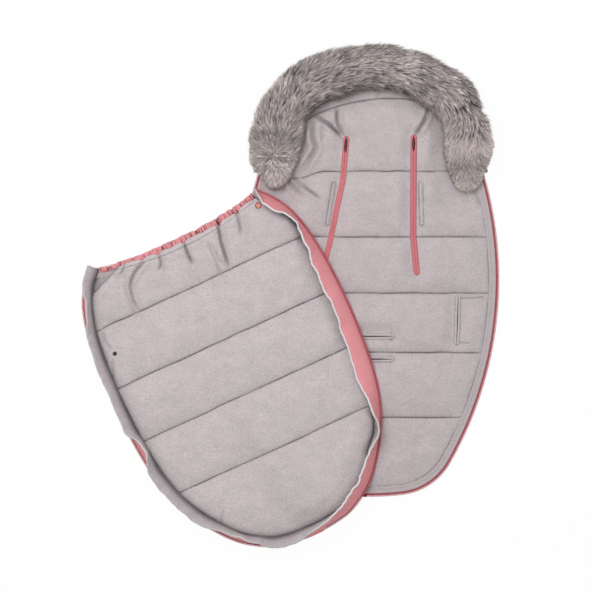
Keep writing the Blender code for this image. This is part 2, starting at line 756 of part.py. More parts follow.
def build_back_zips():
    """Two zip halves that meet at the toe: a box and teeth up each side, with a stop at the shoulder."""
    tape = zip_section(TEETH_MIDDLE_Z, TAPE_THICKNESS / 2, TAPE_INSET, TAPE_WIDTH)
    teeth = zip_section(TEETH_MIDDLE_Z, TEETH_HEIGHT / 2, TEETH_INSET, TEETH_WIDTH)
    box = zip_section(TEETH_MIDDLE_Z, TEETH_HEIGHT / 2 + ZIP_BOX_PROUD, TEETH_INSET, TEETH_WIDTH)
    count = len(PAD_STATIONS)
    sides = (("right", 0, RIGHT_SHOULDER, 1), ("left", count - 1, LEFT_SHOULDER, -1))
    for side, toe, shoulder, turn in sides:
        near_shoulder = shoulder - turn if turn > 0 else shoulder
        gap = CLEARANCE / step_length(PAD_STATIONS, near_shoulder)
        stop = ZIP_STOP_LENGTH / step_length(PAD_STATIONS, near_shoulder)
        box_gap = CLEARANCE / ZIP_BOX_LENGTH
        add_rim_bar(f"back_zip_tape_{side}", coral_fabric, PAD_STATIONS, tape, *sorted((toe, shoulder)))
        ends = sorted((toe + turn, shoulder - turn * (stop + gap)))
        add_rim_bar(f"back_zip_teeth_{side}", coral_fabric, PAD_STATIONS, teeth, *ends)
        ends = sorted((toe, toe + turn * (1 - box_gap)))
        add_rim_bar(f"zip_box_{side}", dark_enamel, PAD_STATIONS, box, *ends)
        ends = sorted((shoulder - turn * stop, shoulder))
        add_rim_bar(f"zip_stop_{side}", dark_enamel, PAD_STATIONS, box, *ends)


def slider_section():
    """The slider's cross-section as (out from the post, height): two plates, a post and two inner lips."""
    half_post = SLIDER_POST / 2
    room = TEETH_HEIGHT / 2 + SLIDER_ROOM
    outer = room + SLIDER_PLATE
    lip = TAPE_THICKNESS / 2 + SLIDER_ROOM
    inner = SLIDER_LIP - SLIDER_REACH
    upper = ((-SLIDER_REACH, lip), (-SLIDER_REACH, outer), (SLIDER_REACH, outer), (SLIDER_REACH, room),
             (half_post, room))
    channel = ((-half_post, room), (inner, room), (inner, lip))
    lower = tuple((u, -z) for u, z in reversed(upper))
    lower_channel = tuple((u, -z) for u, z in reversed(channel))
    return upper + lower + lower_channel + channel


def build_slider(side, turn):
    """A slider that rides round the side arc's centre. Its origin is that centre."""
    rest = math.asin((SLIDER_REST_Y - PAD_WIDEST_Y) / SIDE_RADIUS)
    out = np.array((math.cos(rest), math.sin(rest), 0.0))
    along = np.array((-math.sin(rest), math.cos(rest), 0.0))
    post_radius = SIDE_RADIUS - TEETH_INSET + SLIDER_ROOM + SLIDER_POST / 2
    centre = out * post_radius + np.array((0.0, 0.0, TEETH_MIDDLE_Z))

    def place(u, t, z):
        point = centre + out * u + along * t + np.array((0.0, 0.0, z))
        return (point[0] * turn, point[1], point[2])

    half = SLIDER_LENGTH / 2
    name = f"zip_slider_{side}"
    rings = [[place(u, t, z) for u, z in slider_section()] for t in (-half, half)]
    body = add_sweep(name, dark_enamel, rings)
    top = TEETH_HEIGHT / 2 + SLIDER_ROOM + SLIDER_PLATE
    pivot = top + PULLER_GAP + PULLER_THICKNESS / 2
    bar = pivot + PULLER_THICKNESS / 2 + PULLER_GAP
    reach = BRIDGE_LENGTH / 2
    foot = top - SLIDER_PLATE / 2
    profile = ((-reach, foot), (-reach, bar + BRIDGE_BAR), (reach, bar + BRIDGE_BAR), (reach, foot),
               (reach - BRIDGE_BAR, foot), (reach - BRIDGE_BAR, bar), (BRIDGE_BAR - reach, bar),
               (BRIDGE_BAR - reach, foot))
    rings = [[place(u, t, z) for t, z in profile] for u in (-BRIDGE_WIDTH / 2, BRIDGE_WIDTH / 2)]
    bridge = add_sweep(f"{name}_bridge", dark_enamel, rings)
    bridge.hide_render = True
    bridge.display_type = "WIRE"
    join = body.modifiers.new("bridge", "BOOLEAN")
    join.operation = "UNION"
    join.object = bridge
    for piece in (body, bridge):
        piece.location = (turn * SIDE_CENTRE_X, PAD_WIDEST_Y, 0.0)
    build_puller(side, turn, rest, Vector(place(0.0, 0.0, pivot)) + body.location)


def build_puller(side, turn, rest, pivot):
    """A drop-shaped plate whose eye goes round the slider's bridge. Its origin is on its pivot."""
    end = PULLER_THICKNESS / 2
    eye = PULLER_EYE_LENGTH + end
    body = PULLER_LENGTH - PULLER_HALF_WIDTH
    outer = [(-PULLER_NECK_HALF, -end), (PULLER_NECK_HALF, -end), (PULLER_NECK_HALF, eye)]
    outer += arc((0.0, body), PULLER_HALF_WIDTH, -math.pi / 6, math.pi * 7 / 6, 10)
    outer.append((-PULLER_NECK_HALF, eye))
    inner = [(-PULLER_EYE_HALF, end), (PULLER_EYE_HALF, end), (PULLER_EYE_HALF, eye), (-PULLER_EYE_HALF, eye)]
    loops = [[(*point, 0.0) for point in outer], [(*point, 0.0) for point in inner]]
    puller = add_layer(f"zip_puller_{side}", dark_enamel, loops, level(-end), level(end))
    puller.location = pivot
    puller.rotation_euler = (0.0, 0.0, turn * rest)


def build_fur():
    rings = []
    backing = []
    for x, y, step_x, step_y, width in FUR_STATIONS:
        ring = []
        for k in range(FUR_SIDES):
            turn = 2 * math.pi * (k + 0.5) / FUR_SIDES - math.pi / 2
            across = FUR_HALF_WIDTH * width * math.cos(turn)
            middle = FUR_HEIGHT * width / 2
            low = middle * math.cos(math.pi / FUR_SIDES)
            ring.append((x + step_x * across, y + step_y * across, FUR_BASE + low + middle * math.sin(turn)))
        rings.append(ring)
        half = FUR_HALF_WIDTH * width * FUR_BACKING_SHARE
        corners = ((-half, 0.0), (half, 0.0), (half, FUR_BACKING_THICKNESS), (-half, FUR_BACKING_THICKNESS))
        backing.append([(x + step_x * u, y + step_y * u, FUR_BACKING_BASE + z) for u, z in corners])
    add_sweep("fur_trim", lambda name: make_material(name, (0.30, 0.27, 0.275), 0.9), rings)
    add_sweep("fur_backing", lambda name: make_material(name, (0.20, 0.18, 0.19), 0.9), backing)


COVER_BASE = LINING_CROWN_HEIGHT + COVER_REST_GAP
COVER_X = COVER_OVERLAP - PAD_WIDTH / 2 - COVER_WIDTH / 2 * math.cos(COVER_TURN)
COVER_Y = COVER_EDGE_Y - COVER_WIDTH / 2 * math.sin(COVER_TURN)


def cover_to_world(x, y):
    cosine, sine = math.cos(COVER_TURN), math.sin(COVER_TURN)
    return (COVER_X + x * cosine - y * sine, COVER_Y + x * sine + y * cosine)


def cover_lift(x, y):
    """How high the cover lies at a point of its own: over the pad, then down to the floor beside it."""
    place = cover_to_world(x, y)
    out = distance_to_line(PAD_POINTS, *place, closed=True)
    if inside(PAD_POINTS, *place):
        out = 0.0
    return COVER_BASE * (1 - smooth_step((out - COVER_DRAPE_START) / COVER_DRAPE_LENGTH))


def curve_through(corners):
    """A smooth curve through points, with the first point's neighbour mirrored at x = 0."""
    ends = [(-corners[1][0], corners[1][1])] + list(corners)
    last, before = np.array(corners[-1]), np.array(corners[-2])
    ends.append(tuple(2 * last - before))
    control = np.array(ends)
    curve = [control[1]]
    for k in range(1, len(control) - 2):
        a, b, c, d = control[k - 1:k + 3]
        for step in range(1, CURVE_STEPS + 1):
            t = step / CURVE_STEPS
            value = 2 * b + (c - a) * t + (2 * a - 5 * b + 4 * c - d) * t**2
            curve.append((value + (3 * b - a - 3 * c + d) * t**3) / 2)
    return np.array(curve)


def even_steps(curve, steps):
    lengths = np.concatenate([[0], np.cumsum(np.hypot(*np.diff(curve, axis=0).T))])
    places = np.linspace(0, lengths[-1], steps + 1)
    across = np.interp(places, lengths, curve[:, 0])
    along = np.interp(places, lengths, curve[:, 1])
    return [(float(x), float(y)) for x, y in zip(across, along)]


def cover_outline():
    """The cover's outline, anticlockwise from the toe: up the right side, along the hem, down the left."""
    corners = [(x * COVER_WIDTH / 2, COVER_TOE_Y + y * COVER_LENGTH) for x, y in COVER_OUTLINE_SHARES]
    right = even_steps(curve_through(corners), COVER_HALF_STEPS)
    reach, top = right[-1]
    hem = []
    for k in range(1, HEM_STEPS):
        x = reach * (1 - 2 * k / HEM_STEPS)
        hem.append((x, top - HEM_SAG * (1 - (x / reach) ** 2)))
    left = [(-x, y) for x, y in reversed(right[1:])]
    return right + hem + left


COVER_POINTS = cover_outline()
HEM_START = COVER_HALF_STEPS
HEM_END = COVER_HALF_STEPS + HEM_STEPS


def cover_stations():
    """The cover's stations, each lifted as much as the foot of its draft flap."""
    stations = make_stations(COVER_POINTS)
    lifted = []
    for x, y, step_x, step_y, _ in stations:
        lifted.append((x, y, step_x, step_y, cover_lift(x + step_x * FLAP_INSET, y + step_y * FLAP_INSET)))
    return lifted


COVER_STATIONS = cover_stations()


def squared_stations():
    """The cover's stations with the two top corners stepping straight in from the sides."""
    stations = list(COVER_STATIONS)
    for corner, neighbour, turn in ((HEM_START, HEM_START - 1, 1), (HEM_END, HEM_END + 1, -1)):
        along = (np.array(COVER_POINTS[corner]) - np.array(COVER_POINTS[neighbour])) * turn
        along /= np.hypot(*along)
        x, y, _, _, lift = stations[corner]
        stations[corner] = (x, y, -along[1], along[0], lift)
    return stations


SIDE_STATIONS = squared_stations()


def cover_loop(inset):
    """A layer's outline: inset from the sides, and close behind the casing along the hem."""
    hem_inset = HEM_WIDTH + CLEARANCE + (inset - COVER_SHELL_INSET) * HEM_TUCK_SHARE
    hem = range(HEM_START + HEM_END_STEPS, HEM_END - HEM_END_STEPS + 1)
    loop = []
    for k, station in enumerate(COVER_STATIONS):
        if k in hem:
            loop.append(rim(station, hem_inset, 0.0))
        elif not HEM_START < k < HEM_END:
            loop.append(rim(station, inset, 0.0))
    return loop


def cover_seams():
    seams = [COVER_TOE_Y + share * COVER_LENGTH for share in COVER_SEAM_SHARES]
    return [COVER_TOE_Y + COVER_LINING_INSET] + seams + [COVER_TOE_Y + COVER_LENGTH - HEM_SAG]


COVER_LINING_LOOP = cover_loop(COVER_LINING_INSET)


def stud_place(inset, share, turn):
    """A stud's centre, inset from the cover's side at a share of its length."""
    y = COVER_TOE_Y + share * COVER_LENGTH
    return (turn * (half_width_of(COVER_POINTS, y) - inset), y)


STUDS = {
    "corner_stud": (*stud_place(CORNER_STUD_INSET, CORNER_STUD_SHARE, 1), CORNER_STUD_RADIUS,
                    (0.62, 0.28, 0.22)),
    "side_stud": (*stud_place(SIDE_STUD_INSET, SIDE_STUD_SHARE, -1), SIDE_STUD_RADIUS, (0.12, 0.11, 0.12)),
}


def cover_top(x, y):
    """Height of the cover's lining over its own lift, with gathers that run down from the hem."""
    puff = quilt_share(cover_seams(), y)
    edge = distance_to_line(COVER_LINING_LOOP, x, y, closed=True)
    rise = math.sqrt(min(1.0, edge / LINING_EDGE_RISE))
    height = COVER_SEAM_HEIGHT + (COVER_CROWN_HEIGHT - COVER_SEAM_HEIGHT) * puff * rise
    hem_distance = distance_to_line(COVER_POINTS[HEM_START:HEM_END + 1], x, y)
    fade = 1 - smooth_step(hem_distance / GATHER_REACH)
    wave = math.cos(2 * math.pi * GATHER_COUNT * x / (COVER_WIDTH * COVER_OUTLINE_SHARES[-1][0]))
    return height + GATHER_HEIGHT * (1 + wave) * fade * rise


def build_cover_layers(parent):
    studs = [([(x, y), (x, y)], radius) for x, y, radius, _ in STUDS.values()]
    inner = quilt_points(COVER_LINING_LOOP, cover_seams(), COVER_COLUMN_COUNT, studs,
                         COVER_LINING_INSET / 2, cover_lift)
    shell_loop = cover_loop(COVER_SHELL_INSET)
    wadding_ring = cover_loop(COVER_WADDING_INSET)
    middle = wadding_ring + inner
    shell = add_layer("cover_shell", coral_fabric, [shell_loop], level(0.0), level(SHELL_THICKNESS),
                      middle, middle)
    low = SHELL_THICKNESS + CLEARANCE
    wadding = add_layer("cover_wadding", white_wadding, [wadding_ring], level(low),
                        level(COVER_WADDING_HEIGHT), inner, inner)
    bottom = level(COVER_WADDING_HEIGHT + COVER_LAYER_GAP)
    holes = [stud_ring(x, y, radius + CLEARANCE, cover_lift(x, y)) for x, y, radius, _ in STUDS.values()]
    lining = add_layer("cover_lining", grey_fleece, [COVER_LINING_LOOP] + holes, bottom, cover_top,
                       inner, inner)
    for layer in (shell, wadding, lining):
        layer.parent = parent


def flap_reach(k):
    """How far in from the outline the flap's free edge lies at a station."""
    y_share = (COVER_STATIONS[k % len(COVER_STATIONS)][1] - COVER_TOE_Y) / COVER_LENGTH
    right = k % len(COVER_STATIONS) <= HEM_START
    shares = FLAP_RIGHT_SHARES if right else FLAP_LEFT_SHARES
    return FLAP_REACH * float(np.interp(y_share, [s[0] for s in shares], [s[1] for s in shares]))


def flap_profile(k):
    """Foot, knee, middle and free edge of the flap as (inset, height), and the way along its lean."""
    lean = flap_reach(k) - FLAP_INSET
    rise = math.sqrt(FLAP_LEAN_LENGTH**2 - lean**2)
    foot = SHELL_THICKNESS + CLEARANCE
    way = np.array((lean, rise)) / FLAP_LEAN_LENGTH
    bow = np.array((-way[1], way[0])) * FLAP_BOW * lean / FLAP_LEAN_LENGTH
    knee = np.array((FLAP_INSET, FLAP_KNEE_HEIGHT))
    middle = knee + way * FLAP_LEAN_LENGTH / 2 + bow
    edge = knee + way * FLAP_LEAN_LENGTH
    return [np.array((FLAP_INSET, foot)), knee, middle, edge], way


def flap_ring(k, near, far):
    """A closed section between two distances from the flap's middle, positive on the child's side."""
    profile, way = flap_profile(k)
    sides = ([], [])
    for i, point in enumerate(profile):
        before = profile[max(i - 1, 0)]
        after = profile[min(i + 1, len(profile) - 1)]
        along = (after - before) / np.hypot(*(after - before))
        across = np.array((along[1], -along[0]))
        sides[0].append(point + across * near)
        sides[1].append(point + across * far)
    station = SIDE_STATIONS[k % len(SIDE_STATIONS)]
    return [rim(station, *point) for point in sides[0] + sides[1][::-1]]


def flap_edge_ring(k):
    profile, way = flap_profile(k)
    across = np.array((way[1], -way[0])) * (FLAP_PLY + CLEARANCE)
    near = profile[-1] + way * 2 * CLEARANCE
    far = near + way * FLAP_EDGE_WIDTH
    station = SIDE_STATIONS[k % len(SIDE_STATIONS)]
    return [rim(station, *corner) for corner in (near - across, far - across, far + across, near + across)]


def build_draft_flap(parent):
    places = range(HEM_END, HEM_START + len(COVER_STATIONS) + 1)
    half_gap = FLAP_PLY_GAP / 2
    rings = [flap_ring(k, half_gap, half_gap + FLAP_PLY) for k in places]
    lining = add_sweep("draft_flap_lining", grey_fleece, rings)
    rings = [flap_ring(k, -half_gap, -half_gap - FLAP_PLY) for k in places]
    shell = add_sweep("draft_flap_shell", coral_fabric, rings)
    edge = add_sweep("draft_flap_edge", lambda name: make_material(name, (0.72, 0.68, 0.69), 0.9),
                     [flap_edge_ring(k) for k in places])
    for piece in (lining, shell, edge):
        piece.parent = parent


def build_cover_zips(parent):
    """The cover's zip halves: tape on the shell's rim, teeth outside it and a pin at the toe."""
    count = len(COVER_STATIONS)
    tape_middle = SHELL_THICKNESS + CLEARANCE + TAPE_THICKNESS / 2
    tape_width = FLAP_INSET - FLAP_PLY - 3 * CLEARANCE - TAPE_INSET
    tape = zip_section(tape_middle, TAPE_THICKNESS / 2, TAPE_INSET, tape_width)
    teeth = zip_section(tape_middle, TEETH_HEIGHT / 2 - ZIP_BOX_PROUD, TEETH_INSET, TEETH_WIDTH)
    pin = zip_section(tape_middle, TEETH_HEIGHT / 2 - ZIP_BOX_PROUD / 2, TEETH_INSET, TEETH_WIDTH)
    step = step_length(COVER_STATIONS, 0)
    half_gap = ZIP_SPLIT_GAP / 2 / step
    pin_end = half_gap + ZIP_BOX_LENGTH / step
    gap = CLEARANCE / step
    for side in ("right", "left"):
        first, last = (0.0, float(HEM_START)) if side == "right" else (float(HEM_END), float(count))
        toe = first if side == "right" else last
        turn = 1 if side == "right" else -1
        hem = last if side == "right" else first
        bars = (("tape", coral_fabric, tape, toe + turn * half_gap, hem),
                ("teeth", coral_fabric, teeth, toe + turn * (pin_end + gap), hem),
                ("pin", dark_enamel, pin, toe + turn * half_gap, toe + turn * pin_end))
        for word, material, section, start, end in bars:
            run = run_between(SIDE_STATIONS, *sorted((start, end)))
            rings = [[rim(station, *corner) for corner in section] for station in run]
            add_sweep(f"cover_zip_{word}_{side}", material, rings).parent = parent


def build_hem(parent):
    """A casing folded round an elastic, open where it is sewn down, its folds ruffled."""
    casing = []
    elastic = []
    inner = HEM_WIDTH
    for k in range(HEM_START + HEM_END_STEPS, HEM_END - HEM_END_STEPS + 1):
        station = COVER_STATIONS[k]
        ruffle = HEM_RUFFLE * (-1) ** k
        top = HEM_HEIGHT + ruffle
        near = HEM_RUFFLE + ruffle
        wall = HEM_THICKNESS
        section = ((near, HEM_BOTTOM), (inner, HEM_BOTTOM), (inner, HEM_BOTTOM + wall),
                   (near + wall, HEM_BOTTOM + wall), (near + wall, top - wall), (inner, top - wall),
                   (inner, top), (near, top))
        casing.append([rim(station, *corner) for corner in section])
        middle = (near + wall + inner) / 2
        height = HEM_BOTTOM + wall + CLEARANCE
        half = ELASTIC_WIDTH / 2
        corners = ((middle - half, height), (middle + half, height),
                   (middle + half, height + ELASTIC_THICKNESS), (middle - half, height + ELASTIC_THICKNESS))
        elastic.append([rim(station, *corner) for corner in corners])
    add_sweep("hem_casing", coral_fabric, casing).parent = parent
    add_sweep("hem_elastic", white_wadding, elastic).parent = parent


def stud_ring(x, y, radius, height):
    turns = [2 * math.pi * k / STUD_SIDES for k in range(STUD_SIDES)]
    return [(x + radius * math.cos(turn), y + radius * math.sin(turn), height) for turn in turns]


def build_stud(name, x, y, radius, colour, parent):
    """A low crowned button that stands in a hole of the lining."""
    lift = cover_lift(x, y)
    foot = lift + COVER_WADDING_HEIGHT + CLEARANCE
    collar = lift + cover_top(x, y) + STUD_PROUD
    rings = [stud_ring(x, y, radius, foot), stud_ring(x, y, radius, collar),
             stud_ring(x, y, radius * STUD_CROWN_SHARE, collar + STUD_CROWN)]
    add_sweep(name, lambda word: make_material(word, colour, 0.3, 0.8), rings).parent = parent


def main():
    clear_scene()
    last_right = build_back_layers()
    build_edge_facing(last_right)
    build_slot_pieces()
    build_back_zips()
    for side, turn in (("right", 1), ("left", -1)):
        build_slider(side, turn)
    build_fur()
    place = bpy.data.objects.new("cover_place", None)
    bpy.context.collection.objects.link(place)
    place.location = (COVER_X, COVER_Y, 0.0)
    place.rotation_euler = (0.0, 0.0, COVER_TURN)
    build_cover_layers(place)
    build_draft_flap(place)
    build_cover_zips(place)
    build_hem(place)
    for name, (x, y, radius, colour) in STUDS.items():
        build_stud(name, x, y, radius, colour, place)


main()
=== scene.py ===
"""Looks of a pushchair footmuff laid open on the floor.

The fleece side of the back pad and of the zip-off front cover lies up. Metres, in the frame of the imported
model. Places that were read off the photograph are given in its pixels and turned into metres by photo().
"""

import math

import bmesh
import bpy
import numpy as np
from mathutils import Matrix, Vector
from mathutils.geometry import delaunay_2d_cdt


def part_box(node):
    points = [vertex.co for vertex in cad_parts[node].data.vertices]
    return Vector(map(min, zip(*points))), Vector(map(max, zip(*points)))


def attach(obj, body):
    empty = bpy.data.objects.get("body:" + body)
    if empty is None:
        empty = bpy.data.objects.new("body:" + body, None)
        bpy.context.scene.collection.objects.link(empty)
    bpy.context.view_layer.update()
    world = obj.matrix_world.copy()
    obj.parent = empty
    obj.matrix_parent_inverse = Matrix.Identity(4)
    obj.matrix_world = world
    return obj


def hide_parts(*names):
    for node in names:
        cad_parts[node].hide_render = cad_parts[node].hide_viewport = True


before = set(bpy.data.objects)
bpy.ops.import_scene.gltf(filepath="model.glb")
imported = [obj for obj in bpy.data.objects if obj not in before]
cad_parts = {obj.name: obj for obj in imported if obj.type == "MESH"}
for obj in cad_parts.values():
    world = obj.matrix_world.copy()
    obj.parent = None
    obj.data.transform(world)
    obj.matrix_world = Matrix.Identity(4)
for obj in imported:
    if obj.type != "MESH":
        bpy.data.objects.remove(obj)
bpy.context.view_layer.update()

# Photograph to floor
PIXEL = 0.0019
PHOTO_ORIGIN = (371.0, 300.0)
PHOTO_MIDDLE = (296.0, 296.0)
CAMERA_HEIGHT = 5.02
CAMERA_LENS = 160.0
CAMERA_SENSOR = 36.0

# Back pad
PAD_WIDTH = 0.4906
PAD_TOE_Y = -0.3755
PAD_LENGTH = 0.8315
PAD_WIDEST_Y = 0.040
SIDE_RADIUS = 0.707
CORNER_RADIUS = 0.122
TOE_RADIUS = 0.500
SHOULDER_Y = 0.258
HOOD_CENTRE_Y = 0.106
SHELL_INSET = 0.0070
LINING_INSET = 0.0208
LINING_BOTTOM = 0.0065
LINING_SEAM_Z = 0.0090
LINING_CROWN = 0.0110
SEAM_DROP = (325.0, 0.0130, 0.052)
PAD_SEAM_SHARES = (0.182, 0.331, 0.467, 0.596, 0.746)
HOOD_SEAM_RADIUS = 0.356
HOOD_SEAM_X = 0.040
HOOD_SEAM_TOP = 0.384
HOOD_SEAM_CENTRE = (HOOD_SEAM_X, HOOD_SEAM_TOP - HOOD_SEAM_RADIUS)
# Below this height the lining's outline always belongs to the quilt
HOOD_ENDS_Y = 0.218
ZIP_TOE_GAP = 0.011
TAPE_TOE_GAP = 0.0025
ZIP_TOP_Y = 0.253
ZIP_SPLIT_X = -0.019
ZIP_Z = 0.0070

# Harness slots, as shares of half the pad's width and of its length
RIGHT_SLIT = ((0.333, 0.823), (0.330, 0.704), (0.329, 0.598), (0.356, 0.515))
LEFT_SLIT = ((-0.190, 0.820), (-0.217, 0.726), (-0.271, 0.652), (-0.322, 0.579), (-0.379, 0.515))
RIGHT_WELT = ((0.44, 0.718), (1.0, 0.626))
LEFT_WELT = ((0.9, 0.717), (0.0, 0.626))
WAIST_SLOT = ((0.678, 0.455), (0.666, 0.355))
CROTCH_REACH = 0.161
CROTCH_ROWS = (0.368, 0.316)
SLIT_HALF = 0.0032
SLIT_BINDING = 0.0025
BELT_HALF = 0.0026
BELT_FACING = 0.0030
SLIT_REACH = SLIT_HALF + SLIT_BINDING
BELT_REACH = BELT_HALF + BELT_FACING
# The room between two layers that lie edge to edge
CLEARANCE = 0.0003
WELT_HALF = 0.0044
WELT_GAP = 0.0016
WELT_GAP_SPREAD = 0.0039

# Fur
FUR_HALF_SPAN = 0.185
FUR_SPRING_Y = 0.315
FUR_RISE = 0.131
FUR_HALF_WIDTH = 0.042
FUR_HEIGHT = 0.050
FUR_BASE = 0.0107
FUR_LEG = 0.097
FUR_LEG_SHARES = ((0.995, 0.0, 0.24), (0.984, 0.13, 0.48), (0.962, 0.33, 0.57), (0.957, 0.55, 0.67),
                  (0.99, 0.76, 0.9))

# Front cover, in its own frame before it is turned
COVER_WIDTH = 0.492
COVER_LENGTH = 0.6475
COVER_TOE_Y = -0.3755
COVER_SHARES = ((0.0, 0.0), (0.183, 0.0054), (0.358, 0.0224), (0.557, 0.0703), (0.720, 0.143),
                (0.858, 0.2324), (0.939, 0.325), (0.984, 0.4486), (1.0, 0.611), (0.9756, 0.773),
                (0.9146, 0.884), (0.825, 0.951), (0.7155, 1.0))
COVER_TURN = math.radians(24.8)
COVER_TURN_COS = math.cos(COVER_TURN)
COVER_TURN_SIN = math.sin(COVER_TURN)
COVER_PLACE = (-0.264, -0.1076)
COVER_BASE = 0.0204
COVER_DRAPE_START = 0.012
COVER_DRAPE_LENGTH = 0.078
COVER_LINING_INSET = 0.0208
COVER_LINING_BOTTOM = 0.0058
COVER_SEAM_Z = 0.0082
COVER_CROWN = 0.0098
COVER_SEAM_SHARES = (0.280, 0.4626, 0.634, 0.8147)
HEM_SAG = 0.027
HEM_WIDTH = 0.0130
HEM_COVERED = 0.0024
COVER_ZIP_Z = 0.0017
# How far the gathered hem stands beyond the outline: place across the cover, millimetres
HEM_RISE = ((-0.165, -7.0), (-0.138, -6.0), (-0.117, -2.7), (-0.087, -0.7), (-0.0565, 1.5),
            (-0.025, 3.9), (0.0064, 4.5), (0.038, 3.4), (0.070, 2.2), (0.103, 0.8), (0.137, -1.0),
            (0.165, -1.0))
CORNER_STUD = (0.1658, 0.2393, 0.0062)
SIDE_STUD = (-0.2001, 0.0986, 0.0038)
# How much nearer to the outline the fleece and flap lie at the right: share of the length, millimetres
SHOULDER_SHIFT = ((0.15, 0.0), (0.185, 4.5), (0.225, 4.5), (0.262, 0.0), (0.78, 0.0), (0.83, 4.0),
                  (0.87, 7.0), (0.91, 6.5), (0.945, 2.0), (0.97, 3.0), (1.0, 4.0))
# Notches where the fleece is gathered under the hem, by their place in the photograph, and their depth
GATHERS = ((107, 270, 0.9), (120, 267, 0.4), (144, 262, 0.9), (159, 256, 0.8), (171, 250, 0.4),
           (184.5, 244, 1.0), (203, 234, 0.4), (219, 227, 1.2), (236, 214, 1.1))

# Steps of the meshes, and thin layers
LEAST_FLEECE = 0.0012
OUTLINE_STEP = 0.0025
COARSE = 0.008
SLOT_STEP = 0.003
SHELL_FLOOR_INSET = 0.0145
SHELL_THICK = 0.001
SHARP_ANGLE = math.radians(50)
FINE = 0.0030
TOOTH_PITCH = 0.0022
# Cells along each side of the tables of random waves
GRAIN_CELLS = 64


def photo(px, py):
    """A place in the photograph as metres on the floor."""
    return ((px - PHOTO_ORIGIN[0]) * PIXEL, (PHOTO_ORIGIN[1] - py) * PIXEL)


def photo_line(*places):
    return np.array([photo(*place) for place in places])


# Curves and distances

def unit(rows):
    """Each row made 1 long."""
    return rows / np.maximum(np.linalg.norm(rows, axis=1), 1e-9)[:, None]


def travelled(line):
    """How far along a line each of its points lies."""
    return np.concatenate([[0], np.cumsum(np.linalg.norm(np.diff(line, axis=0), axis=1))])


def even(line, step, closed=False):
    """The same line with points at even steps."""
    line = np.asarray(line, float)
    if closed:
        line = np.vstack([line, line[:1]])
    lengths = travelled(line)
    count = max(2, int(round(lengths[-1] / step)))
    places = np.linspace(0, lengths[-1], count + 1)
    points = np.column_stack([np.interp(places, lengths, column) for column in line.T])
    return points[:-1] if closed else points


def smooth_curve(corners, steps=12):
    """A smooth curve through its corners."""
    corners = np.asarray(corners, float)
    control = np.vstack([2 * corners[0] - corners[1], corners, 2 * corners[-1] - corners[-2]])
    curve = [corners[0]]
    for k in range(1, len(control) - 2):
        a, b, c, d = control[k - 1:k + 3]
        for step in range(1, steps + 1):
            t = step / steps
            value = 2 * b + (c - a) * t + (2 * a - 5 * b + 4 * c - d) * t**2
            curve.append((value + (3 * b - a - 3 * c + d) * t**3) / 2)
    return np.array(curve)


def line_length(line):
    return float(np.linalg.norm(np.diff(line, axis=0), axis=1).sum())


def smooth_step(value):
    value = np.clip(value, 0.0, 1.0)
    return value * value * (3 - 2 * value)


def bell(value, width):
    """1 where the value is 0, and less on both sides of it."""
    return np.exp(-(value / width) ** 2)


def fading(value, width):
    """1 where the value is 0, then less and less."""
    return np.exp(-value / width)


def by_table(value, table):
    """Read from a table of places and values, evenly between its rows."""
    return np.interp(value, *zip(*table))


def level(height):
    """The same height everywhere."""
    return lambda x, y: np.full(np.shape(x), height)


def near_line(line, x, y, closed=False):
    """Distance to a line, and how far along it the nearest place is, for arrays of points."""
    line = np.asarray(line, float)[:, :2]
    ends = np.roll(line, -1, axis=0) if closed else line[1:]
    starts = line if closed else line[:-1]
    best = np.full(np.shape(x), np.inf)
    along = np.zeros(np.shape(x))
    before = 0.0
    for start, end in zip(starts, ends):
        step = end - start
        square = max(float(step @ step), 1e-12)
        share = np.clip(((x - start[0]) * step[0] + (y - start[1]) * step[1]) / square, 0, 1)
        gap = np.hypot(start[0] + share * step[0] - x, start[1] + share * step[1] - y)
        closer = gap < best
        best = np.where(closer, gap, best)
        along = np.where(closer, before + share * math.sqrt(square), along)
        before += math.sqrt(square)
    return best, along


def within(loop, x, y):
    """True for points inside a closed loop."""
    loop = np.asarray(loop, float)
    hit = np.zeros(np.shape(x), bool)
    for (ax, ay), (bx, by) in zip(loop[:, :2], np.roll(loop, -1, axis=0)[:, :2]):
        if ay == by:
            continue
        crosses = (ay > y) != (by > y)
        hit ^= crosses & (x < ax + (y - ay) / (by - ay) * (bx - ax))
    return hit


def gap_to(line, x, y, closed=False):
    """Distance to a line, for arrays of points."""
    return near_line(line, x, y, closed)[0]


def outward(loop):
    """Unit steps out of a closed loop that runs anticlockwise."""
    along = unit(np.roll(loop, -1, axis=0) - np.roll(loop, 1, axis=0))
    return np.column_stack([along[:, 1], -along[:, 0]])


def grain(x, y, size, seed):
    """Smooth random waves between -1 and 1, about size apart."""
    table = np.random.default_rng(seed).uniform(-1, 1, (GRAIN_CELLS, GRAIN_CELLS))
    u, v = x / size, y / size
    i, j = np.floor(u).astype(int), np.floor(v).astype(int)
    s, t = smooth_step(u - i), smooth_step(v - j)
    i, j, i1, j1 = (k % GRAIN_CELLS for k in (i, j, i + 1, j + 1))
    low = table[i, j] * (1 - s) + table[i1, j] * s
    high = table[i, j1] * (1 - s) + table[i1, j1] * s
    return low * (1 - t) + high * t


def beside(line):
    """Unit steps to the right of an open line."""
    side = outward(line)
    side[0], side[-1] = side[1], side[-2]
    return side


def ways(line):
    """Unit steps along an open line."""
    return unit(np.gradient(line, axis=0))


def crease(x, y, line, depth, width, bank=0.0, fade=0.25):
    """A fold along a line: a groove that fades out at its ends, with a bank raised on each side."""
    gap, along = near_line(line, x, y)
    share = along / line_length(line)
    ends = smooth_step(share / fade) * smooth_step((1 - share) / fade)
    return ends * (bank * bell(gap - 2.2 * width, 1.3 * width) - depth * bell(gap, width))


# Meshes

